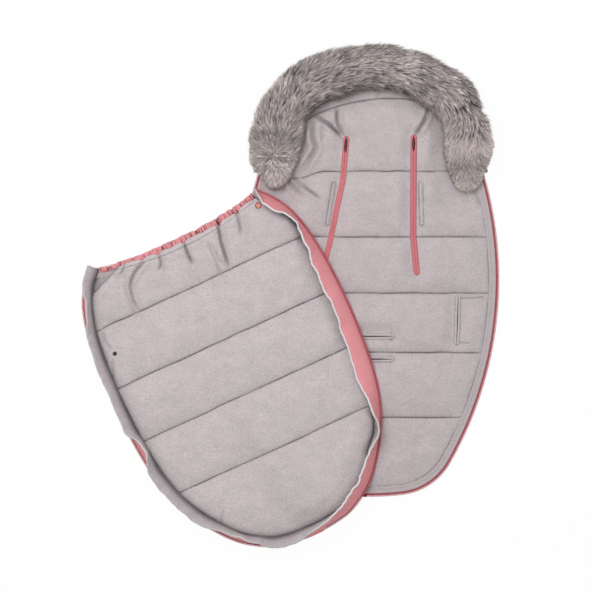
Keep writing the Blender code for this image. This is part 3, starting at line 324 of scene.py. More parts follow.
def mount(name, mesh, material, body):
    """A mesh as an object that rides on a body."""
    mesh.materials.append(material)
    piece = bpy.data.objects.new(name, mesh)
    bpy.context.collection.objects.link(piece)
    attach(piece, body)
    return piece


def stand_in(piece, node):
    """A piece that takes the place of a node of the frame, whose own mesh is hidden."""
    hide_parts(node)
    return piece


def new_piece(name, points, faces, material, body):
    mesh = bpy.data.meshes.new(name)
    mesh.from_pydata(np.asarray(points, float).tolist(), [], [tuple(map(int, face)) for face in faces])
    shape = bmesh.new()
    shape.from_mesh(mesh)
    bmesh.ops.recalc_face_normals(shape, faces=shape.faces)
    shape.to_mesh(mesh)
    shape.free()
    mesh.shade_smooth()
    mesh.set_sharp_from_angle(angle=SHARP_ANGLE)
    return mount(name, mesh, material, body)


def double_area(a, b, c):
    return abs((b[0] - a[0]) * (c[1] - a[1]) - (c[0] - a[0]) * (b[1] - a[1]))


def triangle_edges(triangle):
    return [frozenset((triangle[k - 1], triangle[k])) for k in range(3)]


def fill(loops, inner):
    """Triangles between the first loop and the others, over the loops' points and the inner ones."""
    points = [tuple(corner[:2]) for loop in loops for corner in loop] + [tuple(point[:2]) for point in inner]
    edges = []
    start = 0
    for loop in loops:
        edges += [(start + i, start + (i + 1) % len(loop)) for i in range(len(loop))]
        start += len(loop)
    _, _, faces, origins, _, _ = delaunay_2d_cdt([Vector(point) for point in points], edges, [], 0, 1e-7)
    triangles = [tuple(origins[i][0] for i in face) for face in faces]
    walls = {frozenset(edge) for edge in edges}
    sharing = {}
    for k, triangle in enumerate(triangles):
        for edge in triangle_edges(triangle):
            sharing.setdefault(edge, []).append(k)
    waiting = set(range(len(triangles)))
    kept = []
    while waiting:
        group = [waiting.pop()]
        outside = False
        for k in group:
            for edge in triangle_edges(triangles[k]):
                if edge in walls:
                    continue
                outside |= len(sharing[edge]) == 1
                reached = [other for other in sharing[edge] if other in waiting]
                group += reached
                waiting.difference_update(reached)
        if outside:
            continue
        largest = max(group, key=lambda k: double_area(*(points[i] for i in triangles[k])))
        x, y = np.mean([points[i] for i in triangles[largest]], axis=0)
        if not any(within(hole, x, y) for hole in loops[1:]):
            kept += [triangles[k] for k in group]
    return kept


# Rows of mesh points beside a seam
SEAM_OFFSETS = (-0.0022, -0.0009, 0.0, 0.0009, 0.0022)


def lattice(loops, step, seams):
    """Points in staggered rows inside the first loop, clear of every loop, and rows along the seams."""
    low, high = loops[0].min(axis=0), loops[0].max(axis=0)
    points = []
    for k, y in enumerate(np.arange(low[1], high[1], step * 0.87)):
        x = np.arange(low[0] + step / 2 * (k % 2), high[0], step)
        points.append(np.column_stack([x, np.full(len(x), y)]))
    points = np.vstack(points)
    sewn = np.zeros((0, 2))
    for seam in seams:
        seam = even(seam, step * 0.8)
        points = points[gap_to(seam, *points.T) > SEAM_OFFSETS[-1] + step * 0.35]
        sewn = sewn[gap_to(seam, *sewn.T) > SEAM_OFFSETS[-1] + step * 0.25]
        sewn = np.vstack([sewn] + [seam + beside(seam) * offset for offset in SEAM_OFFSETS])
    points = np.vstack([points, sewn])
    keep = within(loops[0], *points.T)
    for loop in loops:
        keep &= gap_to(loop, *points.T, closed=True) > step * 0.45
    for loop in loops[1:]:
        keep &= ~within(loop, *points.T)
    return points[keep]


def sheet_mesh(name, loops, step, under, over, material, body, seams=(), move=None, painted_shade=None):
    """A closed sheet between two height functions over the area between its loops."""
    loops = [even(loop, step, closed=True) for loop in loops]
    inner = lattice(loops, step, seams)
    flat = np.vstack([*loops, inner])
    triangles = np.array(fill(loops, inner))
    x, y = flat.T
    count = len(flat)
    faces = [tuple(face) for face in triangles + count] + [tuple(face[::-1]) for face in triangles]
    start = 0
    for loop in loops:
        for i in range(len(loop)):
            a, b = start + i, start + (i + 1) % len(loop)
            faces.append((a, b, b + count, a + count))
        start += len(loop)
    points = np.vstack([np.column_stack([flat, under(x, y)]), np.column_stack([flat, over(x, y)])])
    piece = new_piece(name, move(points) if move else points, faces, material, body)
    if painted_shade:
        mark_painted_shade(piece, np.concatenate([np.zeros(count), painted_shade(x, y)]))
    return piece


def mark_painted_shade(piece, values):
    """Keep how much painted shade darkens the fabric at each point, for its finish."""
    mark = piece.data.attributes.new("painted_shade", "FLOAT", "POINT")
    mark.data.foreach_set("value", np.asarray(values, np.float32))


def sweep(name, rings, material, body, closed=False):
    """A skin through rings of the same number of points, its ends closed unless it runs round."""
    rings = np.asarray(rings, float)
    count, width = rings.shape[:2]
    faces = []
    for k in range(count if closed else count - 1):
        for i in range(width):
            a, b = k * width + i, k * width + (i + 1) % width
            c, d = (k + 1) % count * width + (i + 1) % width, (k + 1) % count * width + i
            faces.append((a, b, c, d))
    if not closed:
        faces += [tuple(range(width)), tuple(range((count - 1) * width, count * width))]
    return new_piece(name, rings.reshape(-1, 3), faces, material, body)


def place_rings(loop, out, section):
    """Rings of (inset, height) corners round an outline: the same everywhere, or a function of the place."""
    rings = []
    for k, (point, step) in enumerate(zip(loop, out)):
        corners = section(k) if callable(section) else section
        rings.append([(*(point - step * inset), height) for inset, height in corners])
    return rings


# Outlines

SIDE_CENTRE_X = PAD_WIDTH / 2 - SIDE_RADIUS
TOE_CENTRE_Y = PAD_TOE_Y + TOE_RADIUS
HOOD_TOP_Y = PAD_TOE_Y + PAD_LENGTH


def side_x(y):
    """How far from the middle the pad's side lies at this height."""
    return SIDE_CENTRE_X + math.sqrt(SIDE_RADIUS**2 - (y - PAD_WIDEST_Y) ** 2)


def turn_points(centre, radius, first, last, count):
    """Points along an arc, from one angle to another."""
    turns = np.linspace(first, last, count)
    return np.column_stack([centre[0] + radius * np.cos(turns), centre[1] + radius * np.sin(turns)])


def pad_outline():
    """The pad's outline anticlockwise from the middle of its toe."""
    gap = np.array((-SIDE_CENTRE_X, TOE_CENTRE_Y - PAD_WIDEST_Y))
    apart = np.hypot(*gap)
    first, second = SIDE_RADIUS - CORNER_RADIUS, TOE_RADIUS - CORNER_RADIUS
    along = (apart**2 + first**2 - second**2) / (2 * apart)
    across = math.sqrt(first**2 - along**2)
    foot = np.array((SIDE_CENTRE_X, PAD_WIDEST_Y)) + gap * along / apart
    turn = np.array((-gap[1], gap[0])) / apart
    corner = min((foot + turn * across, foot - turn * across), key=lambda end: end[1] - end[0])
    toe_end = math.atan2(corner[1] - TOE_CENTRE_Y, corner[0])
    side_start = math.atan2(corner[1] - PAD_WIDEST_Y, corner[0] - SIDE_CENTRE_X)
    side_end = math.asin((SHOULDER_Y - PAD_WIDEST_Y) / SIDE_RADIUS)
    rise = HOOD_TOP_Y - HOOD_CENTRE_Y
    spread = (SHOULDER_Y - HOOD_CENTRE_Y) / rise
    half = side_x(SHOULDER_Y) / math.sqrt(1 - spread**2)
    hood = np.linspace(math.asin(spread), math.pi / 2, 60)
    right = np.vstack([
        turn_points((0, TOE_CENTRE_Y), TOE_RADIUS, -math.pi / 2, toe_end, 30),
        turn_points(corner, CORNER_RADIUS, toe_end, side_start, 30)[1:],
        turn_points((SIDE_CENTRE_X, PAD_WIDEST_Y), SIDE_RADIUS, side_start, side_end, 80)[1:],
        np.column_stack([half * np.cos(hood), HOOD_CENTRE_Y + rise * np.sin(hood)])[1:],
    ])
    left = right[::-1][1:-1] * (-1, 1)
    return even(np.vstack([right, left]), OUTLINE_STEP, closed=True)


def cover_outline():
    """The cover's outline anticlockwise from its toe, and how many points lie on its right side."""
    corners = np.array([(x * COVER_WIDTH / 2, COVER_TOE_Y + y * COVER_LENGTH) for x, y in COVER_SHARES])
    mirrored = np.vstack([corners[::-1][:-1] * (-1, 1), corners])
    whole = smooth_curve(mirrored)
    right = even(whole[len(whole) // 2:], OUTLINE_STEP)
    reach, top = right[-1]
    x = np.linspace(reach, -reach, 145)
    hem = np.column_stack([x, top - HEM_SAG * (1 - (x / reach) ** 2)])
    left = right[::-1] * (-1, 1)
    return np.vstack([right, hem[1:-1], left[:-1]]), len(right), hem


PAD_LOOP = pad_outline()
PAD_OUT = outward(PAD_LOOP)
COVER_LOOP, COVER_SIDE_COUNT, HEM_LINE = cover_outline()
COVER_OUT = outward(COVER_LOOP)
# Where the hem starts and ends in the cover's outline
HEM_FIRST = COVER_SIDE_COUNT - 1
HEM_LAST = HEM_FIRST + len(HEM_LINE) - 1


def inset_loop(loop, out, inset):
    """A loop moved inwards."""
    return loop - out * inset


def nearest(loop, place):
    """The index of the loop's point nearest to a place."""
    return int(np.hypot(*(loop - np.asarray(place)).T).argmin())


def run(first, last, count):
    """Indices from one place of a loop to another, anticlockwise."""
    if last < first:
        last += count
    return np.arange(first, last + 1) % count


def pad_place(share):
    """A place given as shares of half the pad's width and of its length."""
    return (share[0] * PAD_WIDTH / 2, PAD_TOE_Y + share[1] * PAD_LENGTH)


def slot_line(shares):
    return even([pad_place(share) for share in shares], SLOT_STEP)


def welt_line(shares, slit_shares, turn):
    """A welt's middle line, beside the outer side of a slit."""
    slit = np.array([pad_place(share) for share in reversed(slit_shares)])
    ends = []
    for spread, along in shares:
        y = pad_place((0, along))[1]
        gap = SLIT_REACH + WELT_GAP + WELT_HALF + spread * WELT_GAP_SPREAD
        ends.append((np.interp(y, slit[:, 1], slit[:, 0]) + turn * gap, y))
    return even(ends, SLOT_STEP)


SLITS = {"right": slot_line(RIGHT_SLIT), "left": slot_line(LEFT_SLIT)}
WAISTS = {"right": slot_line(WAIST_SLOT), "left": slot_line([(-x, y) for x, y in WAIST_SLOT])}
CROTCHES = {word: slot_line(((-CROTCH_REACH, row), (CROTCH_REACH, row)))
            for word, row in zip(("upper", "lower"), CROTCH_ROWS)}
BELTS = (*WAISTS.values(), *CROTCHES.values())
WELT_PLACES = {"right": welt_line(RIGHT_WELT, RIGHT_SLIT, 1), "left": welt_line(LEFT_WELT, LEFT_SLIT, -1)}


def loop_round(line, half):
    """A closed loop round a line, with round ends."""
    along = ways(line)
    across = np.column_stack([-along[:, 1], along[:, 0]])
    turns = np.linspace(-math.pi / 2, math.pi / 2, 9)[1:-1]
    last = [line[-1] + half * (along[-1] * math.cos(t) + across[-1] * math.sin(t)) for t in turns]
    first = [line[0] - half * (along[0] * math.cos(t) + across[0] * math.sin(t)) for t in turns]
    return np.vstack([line - across * half, last, (line + across * half)[::-1], first])


def strap_holes():
    """Loops round the slots, a little wider than their lips."""
    holes = [loop_round(line, SLIT_REACH + CLEARANCE) for line in SLITS.values()]
    return holes + [loop_round(line, BELT_REACH + CLEARANCE) for line in BELTS]


def hood_radius(x, y):
    """Distance from the middle of the hood's curved seam."""
    return np.hypot(x - HOOD_SEAM_CENTRE[0], y - HOOD_SEAM_CENTRE[1])


def hood_seam_y(x):
    """How far up the hood's curved seam lies."""
    reach = np.clip(HOOD_SEAM_RADIUS**2 - (x - HOOD_SEAM_X) ** 2, 0.0, None)
    return HOOD_SEAM_CENTRE[1] + np.sqrt(reach)


def fur_line():
    """The fur's middle line from the right leg's end over the hood to the left one's, with its width."""
    right = [(FUR_HALF_SPAN * across, FUR_SPRING_Y - FUR_LEG + FUR_LEG * up, width)
             for across, up, width in FUR_LEG_SHARES]
    turns = np.linspace(0, math.pi, 41)
    arch = [(FUR_HALF_SPAN * math.cos(t), FUR_SPRING_Y + FUR_RISE * math.sin(t), 1.0) for t in turns]
    return even(right + arch + [(-x, y, width) for x, y, width in reversed(right)], 0.004)


FUR_LINE = fur_line()
# The fur's inner and outer edges from the right leg's end over the hood to the left one's
FUR_INNER = photo_line((469, 190), (459, 186), (452, 174), (447, 155), (446.5, 130), (443, 118),
                       (431, 107), (416, 98), (396, 89), (373, 87), (355, 89.5), (337, 97), (321, 103),
                       (308, 115), (300.5, 124), (299, 144), (292, 165), (287, 176), (282, 183))
FUR_OUTER = photo_line((471, 190), (478, 182), (482, 172), (486, 160), (490, 148), (489.5, 136),
                       (487, 124), (483.5, 112), (479, 100), (473, 88), (463, 77), (447, 65),
                       (425, 54.5), (400, 48), (372, 46), (345, 49), (319, 55), (296, 66), (283, 77),
                       (273, 89), (263, 101), (258, 112), (255, 124), (252.5, 136), (253, 148),
                       (253, 160), (256, 171), (264, 181), (272, 185))
FUR_AREA = np.vstack([FUR_INNER, FUR_OUTER[::-1]])


# Materials

def add_node(tree, kind, **settings):
    node = tree.nodes.new(kind)
    for key, value in settings.items():
        setattr(node, key, value)
    return node


# How much darker the fabric is where the painted shade is full
PAINTED_SHADE_DARKER = 0.75


def effect_group(name, scale, patches):
    """A node group for one kind of surface: the group, its inputs, its result and the place on the object."""
    group = bpy.data.node_groups.new(name, "ShaderNodeTree")
    for word, kind, value in (("Colour", "NodeSocketColor", (0.5, 0.5, 0.5, 1.0)),
                              ("Scale", "NodeSocketFloat", scale), ("Patches", "NodeSocketFloat", patches)):
        group.interface.new_socket(name=word, in_out="INPUT", socket_type=kind).default_value = value
    for word, kind in (("Colour", "Color"), ("Roughness", "Float"), ("Normal", "Vector")):
        group.interface.new_socket(name=word, in_out="OUTPUT", socket_type=f"NodeSocket{kind}")
    place = add_node(group, "ShaderNodeTexCoord").outputs["Object"]
    return group, group.nodes.new("NodeGroupInput").outputs, group.nodes.new("NodeGroupOutput"), place


def feed(tree, socket, value):
    """A plain value for a socket, or a link to it."""
    if isinstance(value, bpy.types.NodeSocket):
        tree.links.new(value, socket)
    elif isinstance(value, tuple):
        socket.default_value = (*value, 1.0)[:len(socket.default_value)]
    else:
        socket.default_value = value


def wire(tree, node, **values):
    """Values and links for a node's sockets, whose names are written with _ for a space."""
    for key, value in values.items():
        feed(tree, node.inputs[key.replace("_", " ")], value)
    return node


def new_material(name):
    """A material, its node tree and its main shader."""
    material = bpy.data.materials.new(name)
    material.use_nodes = True
    tree = material.node_tree
    return material, tree, tree.nodes["Principled BSDF"]


def math_node(tree, operation, *values):
    node = add_node(tree, "ShaderNodeMath", operation=operation)
    for socket, value in zip(node.inputs, values):
        feed(tree, socket, value)
    return node.outputs[0]


def weighted_sum(tree, start, *terms):
    """A start value plus each value times its weight."""
    for value, weight in terms:
        start = math_node(tree, "MULTIPLY_ADD", value, weight, start)
    return start


def noise_node(tree, vector, scale, detail=3.0):
    node = add_node(tree, "ShaderNodeTexNoise")
    return wire(tree, node, Vector=vector, Scale=scale, Detail=detail, Roughness=0.6).outputs["Fac"]


def mix_colour(tree, share, first, second):
    node = add_node(tree, "ShaderNodeMix", data_type="RGBA")
    for key, value in (("Factor", share), (6, first), (7, second)):
        feed(tree, node.inputs[key], value)
    return node.outputs[2]


def scale_colour(tree, colour, gain):
    node = add_node(tree, "ShaderNodeVectorMath", operation="SCALE")
    feed(tree, node.inputs[0], colour)
    return wire(tree, node, Scale=gain).outputs["Vector"]


def bump_node(tree, height, distance, strength, **normal):
    node = add_node(tree, "ShaderNodeBump")
    return wire(tree, node, Height=height, Distance=distance, Strength=strength, **normal).outputs["Normal"]


def end_effect(group, source, result, swing, roughness, normal):
    """The colour swings about its middle, as far as Patches says, and darkens by the painted shade kept in
    the piece.
    """
    painted_shade = add_node(group, "ShaderNodeAttribute", attribute_name="painted_shade").outputs["Fac"]
    gain = math_node(group, "MULTIPLY", math_node(group, "MULTIPLY_ADD", swing, source["Patches"], 1.0),
                     math_node(group, "MULTIPLY_ADD", painted_shade, -PAINTED_SHADE_DARKER, 1.0))
    colour = scale_colour(group, source["Colour"], gain)
    wire(group, result, Colour=colour, Roughness=roughness, Normal=normal)
    return group


def pile_group():
    """Short brushed pile: soft patches where it lies flat, and fine fibres."""
    group, source, result, place = effect_group("brushed_pile", 900.0, 0.72)
    stretch = wire(group, add_node(group, "ShaderNodeMapping"), Vector=place, Scale=(1.0, 1.35, 1.0))
    place = stretch.outputs["Vector"]
    broad = noise_node(group, place, 34.0)
    fine = noise_node(group, place, source["Scale"], 2.0)
    tuft = noise_node(group, place, 260.0, 4.0)
    swing = weighted_sum(group, -0.5 * (0.42 + 0.95 + 0.7), (broad, 0.42), (tuft, 0.95), (fine, 0.7))
    normal = bump_node(group, tuft, 0.0014, 0.8, Normal=bump_node(group, fine, 0.0006, 0.7))
    return end_effect(group, source, result, swing, math_node(group, "MULTIPLY_ADD", tuft, 0.2, 0.78), normal)


def weave_group():
    """Plain weave: threads over and under, a little uneven in colour."""
    group, source, result, place = effect_group("plain_weave", 1400.0, 0.10)
    heights = []
    for direction in ("X", "Y"):
        wave = add_node(group, "ShaderNodeTexWave", wave_type="BANDS", bands_direction=direction)
        wire(group, wave, Vector=place, Scale=source["Scale"], Distortion=0.6, Detail=1.0)
        heights.append(wave.outputs["Fac"])
    thread = math_node(group, "MAXIMUM", *heights)
    swing = weighted_sum(group, -0.5 - 0.8 * 0.5, (noise_node(group, place, 55.0), 1.0), (thread, 0.5))
    return end_effect(group, source, result, swing, math_node(group, "MULTIPLY_ADD", thread, -0.15, 0.85),
                      bump_node(group, thread, 0.0001, 0.6))


PILE = pile_group()
WEAVE = weave_group()


def finish_material(name, group, colour, sheen=0.0, **inputs):
    """A material whose colour, roughness and normal come from a shared effect."""
    material, tree, shader = new_material(name)
    effect = wire(tree, add_node(tree, "ShaderNodeGroup", node_tree=group), Colour=srgb(*colour), **inputs)
    wire(tree, shader, Base_Color=effect.outputs["Colour"], Roughness=effect.outputs["Roughness"],
         Normal=effect.outputs["Normal"], Sheen_Weight=sheen, Sheen_Roughness=0.5, Specular_IOR_Level=0.25)
    return material


def srgb(red, green, blue):
    """A colour on the 0 to 255 scale of a screen as the plain numbers that shaders take."""
    shares = (red / 255, green / 255, blue / 255)
    return tuple(c / 12.92 if c < 0.0408 else ((c + 0.055) / 1.055) ** 2.4 for c in shares)


FLEECE = finish_material("fleece_grey_lilac", PILE, (196, 186, 188), sheen=0.15)
COVER_FLEECE = finish_material("fleece_cover", PILE, (201, 191, 193), sheen=0.15)
STRIP_FLEECE = finish_material("fleece_strip", PILE, (190, 180, 182), sheen=0.1, Patches=0.3)
FLAP_FLEECE = finish_material("fleece_flap", PILE, (192, 181, 184), sheen=0.15)
CORAL = finish_material("coral_weave", WEAVE, (236, 156, 161))
CORAL_BINDING = finish_material("coral_binding", WEAVE, (212, 122, 130))
CORAL_TAPE = finish_material("coral_tape", WEAVE, (168, 82, 90), Scale=2200.0)
CORAL_COIL = finish_material("coral_coil", WEAVE, (204, 112, 120), Patches=0.2)
PALE_EDGE = finish_material("pale_edge", WEAVE, (230, 225, 226), Scale=2400.0)
WADDING = finish_material("wadding_white", PILE, (236, 236, 232), Patches=0.2)
ELASTIC = finish_material("elastic_white", WEAVE, (230, 228, 224), Scale=900.0)


def rubbed_material(name, first, second, grain_of, roughness, depth, **settings):
    """Enamel or metal that is rubbed unevenly between two colours."""
    material, tree, shader = new_material(name)
    rub = noise_node(tree, add_node(tree, "ShaderNodeTexCoord").outputs["Object"], *grain_of)
    wire(tree, shader, Base_Color=mix_colour(tree, rub, srgb(*first), srgb(*second)), **settings)
    wire(tree, shader, Roughness=math_node(tree, "MULTIPLY_ADD", rub, *roughness))
    wire(tree, shader, Normal=bump_node(tree, rub, depth, 0.3))
    return material


ENAMEL = rubbed_material("dark_red_enamel", (112, 34, 44), (142, 52, 62), (900.0, 4.0), (0.25, 0.35), 0.00005,
                         Coat_Weight=0.15, Coat_Roughness=0.3, Specular_IOR_Level=0.3)
STUD_RUB = ((700.0, 5.0), (0.3, 0.25), 0.00006)
COPPER = rubbed_material("stud_copper", (206, 138, 126), (170, 100, 92), *STUD_RUB, Metallic=0.35)
DARK_METAL = rubbed_material("stud_dark", (70, 64, 66), (40, 36, 38), *STUD_RUB, Metallic=0.7)


def fur_material(name, root, middle, tip):
    """Hair whose colour runs from its root to its tip, with a tone for each clump that also holds painted
    shade.
    """
    material, tree, shader = new_material(name)
    hair = add_node(tree, "ShaderNodeAttribute", attribute_name="hair").outputs["Color"]
    parts = wire(tree, add_node(tree, "ShaderNodeSeparateColor"), Color=hair).outputs
    ramp = wire(tree, add_node(tree, "ShaderNodeValToRGB"), Fac=parts["Red"])
    stops = ramp.color_ramp.elements
    stops[0].color = (*srgb(*root), 1.0)
    stops[1].color = (*srgb(*tip), 1.0)
    stops.new(0.45).color = (*srgb(*middle), 1.0)
    gain = math_node(tree, "MULTIPLY_ADD", parts["Green"], 1.35, 0.30)
    roughness = math_node(tree, "MULTIPLY_ADD", parts["Blue"], 0.3, 0.45)
    wire(tree, shader, Base_Color=scale_colour(tree, ramp.outputs["Color"], gain), Roughness=roughness,
         Specular_IOR_Level=0.3)
    return material


HAIR = fur_material("fur_hair", (58, 50, 58), (158, 146, 146), (226, 216, 212))
# The dark skin is the backing's own dark colour, and where it shows past the hair's inner edge it stands as a
# painted shadow line
FUR_SKIN_AND_SHADOW = finish_material("fur_skin", PILE, (56, 50, 56), Patches=0.4)


# Folds and stitches of the back pad

PAD_LINING_LOOP = inset_loop(PAD_LOOP, PAD_OUT, LINING_INSET)
PAD_SEAMS_Y = [PAD_TOE_Y + share * PAD_LENGTH for share in PAD_SEAM_SHARES]

# Folds: line in the photograph, depth, width and bank in metres
PAD_CREASES = (
    (((337.4, 104), (337, 114), (338, 124), (342, 132), (346, 139)), 0.0078, 0.0030, 0.0034),
    (((326, 119), (334, 129), (341, 136)), 0.0036, 0.0028, 0.0018),
    (((306, 113), (314, 115), (322, 120), (332, 127.5), (340, 135), (346, 141)), 0.0090, 0.0030, 0.0040),
    (((311, 116), (312, 128), (313, 140), (315.5, 148), (310, 158), (304, 168), (301, 177)),
     0.0078, 0.0042, 0.0044),
    (((321, 124), (323, 133), (323, 142)), 0.0030, 0.0032, 0.0018),
    (((414.5, 139), (419, 130), (426, 119), (429, 110), (431, 101)), 0.0080, 0.0034, 0.0036),
    (((281, 173), (290, 183), (302, 198)), 0.0085, 0.0030, 0.0034),
    (((288, 172), (298, 182), (309, 190.5), (324, 201)), 0.0068, 0.0028, 0.0026),
    (((280, 183), (282, 188), (284, 193)), 0.0035, 0.0030, 0.0015),
    (((474, 188), (478, 198), (482, 207)), 0.0070, 0.0034, 0.0018),
    (((378, 99), (380, 93), (379, 88)), 0.0030, 0.0030, 0.0010),
)
# Short rows of stitches beside the waist and crotch slots
PAD_STITCHES = (
    ((459, 298.5), (472, 298), (485, 297)), ((458, 342.5), (464, 343), (471, 343.5)),
    ((391.5, 331), (391.5, 342)), ((391, 355), (391, 364)),
)


# Quilting of both panels

PUCKER_HEIGHT = 0.0009
PUCKER_STRETCH = 0.12
SEAM_DEPTH = 0.0014
SEAM_WIDTH = 0.0011
# How far from the outline, the fur and the slots the pad's crown is full
EDGE_SLOPE = 0.04
FUR_SLOPE = 0.035
SLOT_SLOPE = 0.025


def puff(x, y, edges, power):
    """0 on a seam and 1 between two, for edges given as heights or arrays."""
    value = np.zeros(np.shape(x))
    for low, high in zip(edges, edges[1:]):
        share = (y - low) / (high - low)
        inside = (share > 0) & (share < 1)
        value = np.where(inside, np.sin(math.pi * np.clip(share, 0, 1)) ** power, value)
    return value


def wavy_rows(x, heights, wave, size, seed):
    """Seams at these heights, a little uneven."""
    return [y + wave * grain(x, np.full(np.shape(x), y), size, seed) for y in heights]


def seam_relief(x, y, rows, size, seed):
    """The groove along each seam with the puckers beside it, and the distance to the nearest seam."""
    gaps = [np.abs(y - row) for row in rows]
    puckers = sum(grain(x, y * PUCKER_STRETCH + k, size, seed + k) * fading(gap, 0.009)
                  * smooth_step(gap / 0.003) for k, gap in enumerate(gaps))
    nearest_seam = np.minimum.reduce(gaps)
    return PUCKER_HEIGHT * puckers - SEAM_DEPTH * bell(nearest_seam, SEAM_WIDTH), nearest_seam


def seam_painted_shade(x, y, rows, seed):
    """Painted shade in the seam grooves, and faintly beside them."""
    gap = np.minimum.reduce([np.abs(y - row) for row in rows])
    return (0.62 + 0.30 * grain(x, y, 0.016, seed)) * bell(gap, 0.0009) + 0.07 * fading(gap, 0.006)


def waves(x, y, seam_gap, broad, fine):
    """Broad waves, and fine ones away from the seams, each given as its height, size and seed."""
    away = smooth_step(seam_gap / 0.01)
    return broad[0] * grain(x, y, *broad[1:]) + fine[0] * grain(x, y, *fine[1:]) * away


def fold_relief(x, y, folds, curve):
    """How much the folds raise or lower the fleece."""
    return sum(crease(x, y, curve(line, 4), *shape) for line, *shape in folds)


def fold_painted_shade(x, y, folds, curve, broad, narrow, fade=0.25):
    """Painted shade in the folds: all over, and more along their middles."""
    value = np.zeros(np.shape(x))
    for line, depth, width, _ in folds:
        line = curve(line, 4)
        value += crease(x, y, line, -broad * depth, width * 0.9, fade=fade)
        value += crease(x, y, line, -narrow * depth, width * 0.3)
    return value


# Layers of the back pad

def pad_curve(places, steps=12):
    return smooth_curve(photo_line(*places), steps)


def pad_rows(x):
    """The quilt's seams from the toe to the hood."""
    rows = wavy_rows(x, PAD_SEAMS_Y, 0.0009, 0.027, 15)
    start, drop, spread = SEAM_DROP
    rows[-1] = rows[-1] - drop * smooth_step((photo(start, 0)[0] - x) / spread)
    return [PAD_TOE_Y + LINING_INSET - 0.02] + rows + [hood_seam_y(x)]


def seam_line(row, reach):
    """A seam as a line for the mesh to follow."""
    x = np.linspace(-reach, reach, 161)
    return np.column_stack([x, row(x)])


def pad_top(x, y):
    """Height of the fleece of the back pad."""
    rows = pad_rows(x)
    edge = gap_to(PAD_LINING_LOOP[::3], x, y, closed=True)
    slots = [line[::4] if len(line) > 12 else line for line in (*SLITS.values(), *BELTS)]
    slot = np.minimum.reduce([gap_to(line, x, y) for line in slots])
    crown = puff(x, y, rows, 0.5) * np.sqrt(np.clip(edge / EDGE_SLOPE, 0, 1))
    crown *= smooth_step((gap_to(FUR_LINE[::2], x, y) - FUR_HALF_WIDTH - 0.002) / FUR_SLOPE)
    crown *= 0.3 + 0.7 * smooth_step((slot - 0.006) / SLOT_SLOPE)
    relief, seam_gap = seam_relief(x, y, rows[1:], 0.0085, 20)
    height = LINING_SEAM_Z + LINING_CROWN * crown + relief
    height += smooth_step(edge / 0.02) * waves(x, y, seam_gap, (0.0014, 0.055, 3), (0.0007, 0.021, 4))
    height += fold_relief(x, y, PAD_CREASES, pad_curve)
    for line in PAD_STITCHES:
        height += crease(x, y, photo_line(*line), 0.0015, 0.0011, 0.0004, fade=0.05)
    return np.maximum(height, LINING_BOTTOM + LEAST_FLEECE)


def fur_shade(x, y):
    """Where the fur's inner edge presses and shades the fleece."""
    gap = gap_to(FUR_INNER, x, y)
    return 0.85 * bell(gap, 0.0024) + 0.26 * fading(gap, 0.010)


def pad_painted_shade(x, y):
    """Painted shade on the pad's pile: along seams, stitches and folds, round the welts and under the fur's
    inner edge.
    """
    value = seam_painted_shade(x, y, pad_rows(x)[1:], 12) + fold_painted_shade(x, y, PAD_CREASES, pad_curve, 30, 28)
    for line in PAD_STITCHES:
        value += crease(x, y, photo_line(*line), -0.4, 0.0010, fade=0.05)
    for line in WELT_PLACES.values():
        value += 0.15 * bell(gap_to(line, x, y) - WELT_HALF - 0.0006, 0.0012)
    return np.clip(value + fur_shade(x, y), 0, 1)


def hood_arc(radius, first, last):
    """The part of the hood's curved seam that lies inside the lining."""
    arc = turn_points(HOOD_SEAM_CENTRE, radius, first, last, 181)
    return arc[within(PAD_LINING_LOOP, *arc.T)]


def build_pad_lining():
    """The quilted fleece of the pad, up to the hood's curved seam."""
    x, y = PAD_LINING_LOOP.T
    quilted = PAD_LINING_LOOP[(y < HOOD_ENDS_Y) | (hood_radius(x, y) < HOOD_SEAM_RADIUS)]
    cut = next(k for k, (x, y) in enumerate(quilted) if y > 0 and quilted[(k + 1) % len(quilted)][0] < 0 < x)
    arc = hood_arc(HOOD_SEAM_RADIUS, math.pi / 4, math.pi * 3 / 4)
    loop = np.vstack([quilted[:cut + 1], arc, quilted[cut + 1:]])
    holes = strap_holes() + [loop_round(line, WELT_HALF + CLEARANCE) for line in WELT_PLACES.values()]
    seams = [seam_line(lambda x, k=k: pad_rows(x)[k], PAD_WIDTH / 2) for k in range(1, 6)]
    seams += [even(photo_line(*line), FINE) for line in PAD_STITCHES]
    seams += [pad_curve(line) for line, *_ in PAD_CREASES[:-1]]
    lining = sheet_mesh("pad_fleece_quilt", [loop] + holes, FINE, level(LINING_BOTTOM), pad_top, FLEECE,
                        "pad", seams, painted_shade=pad_painted_shade)
    stand_in(lining, "back_lining")


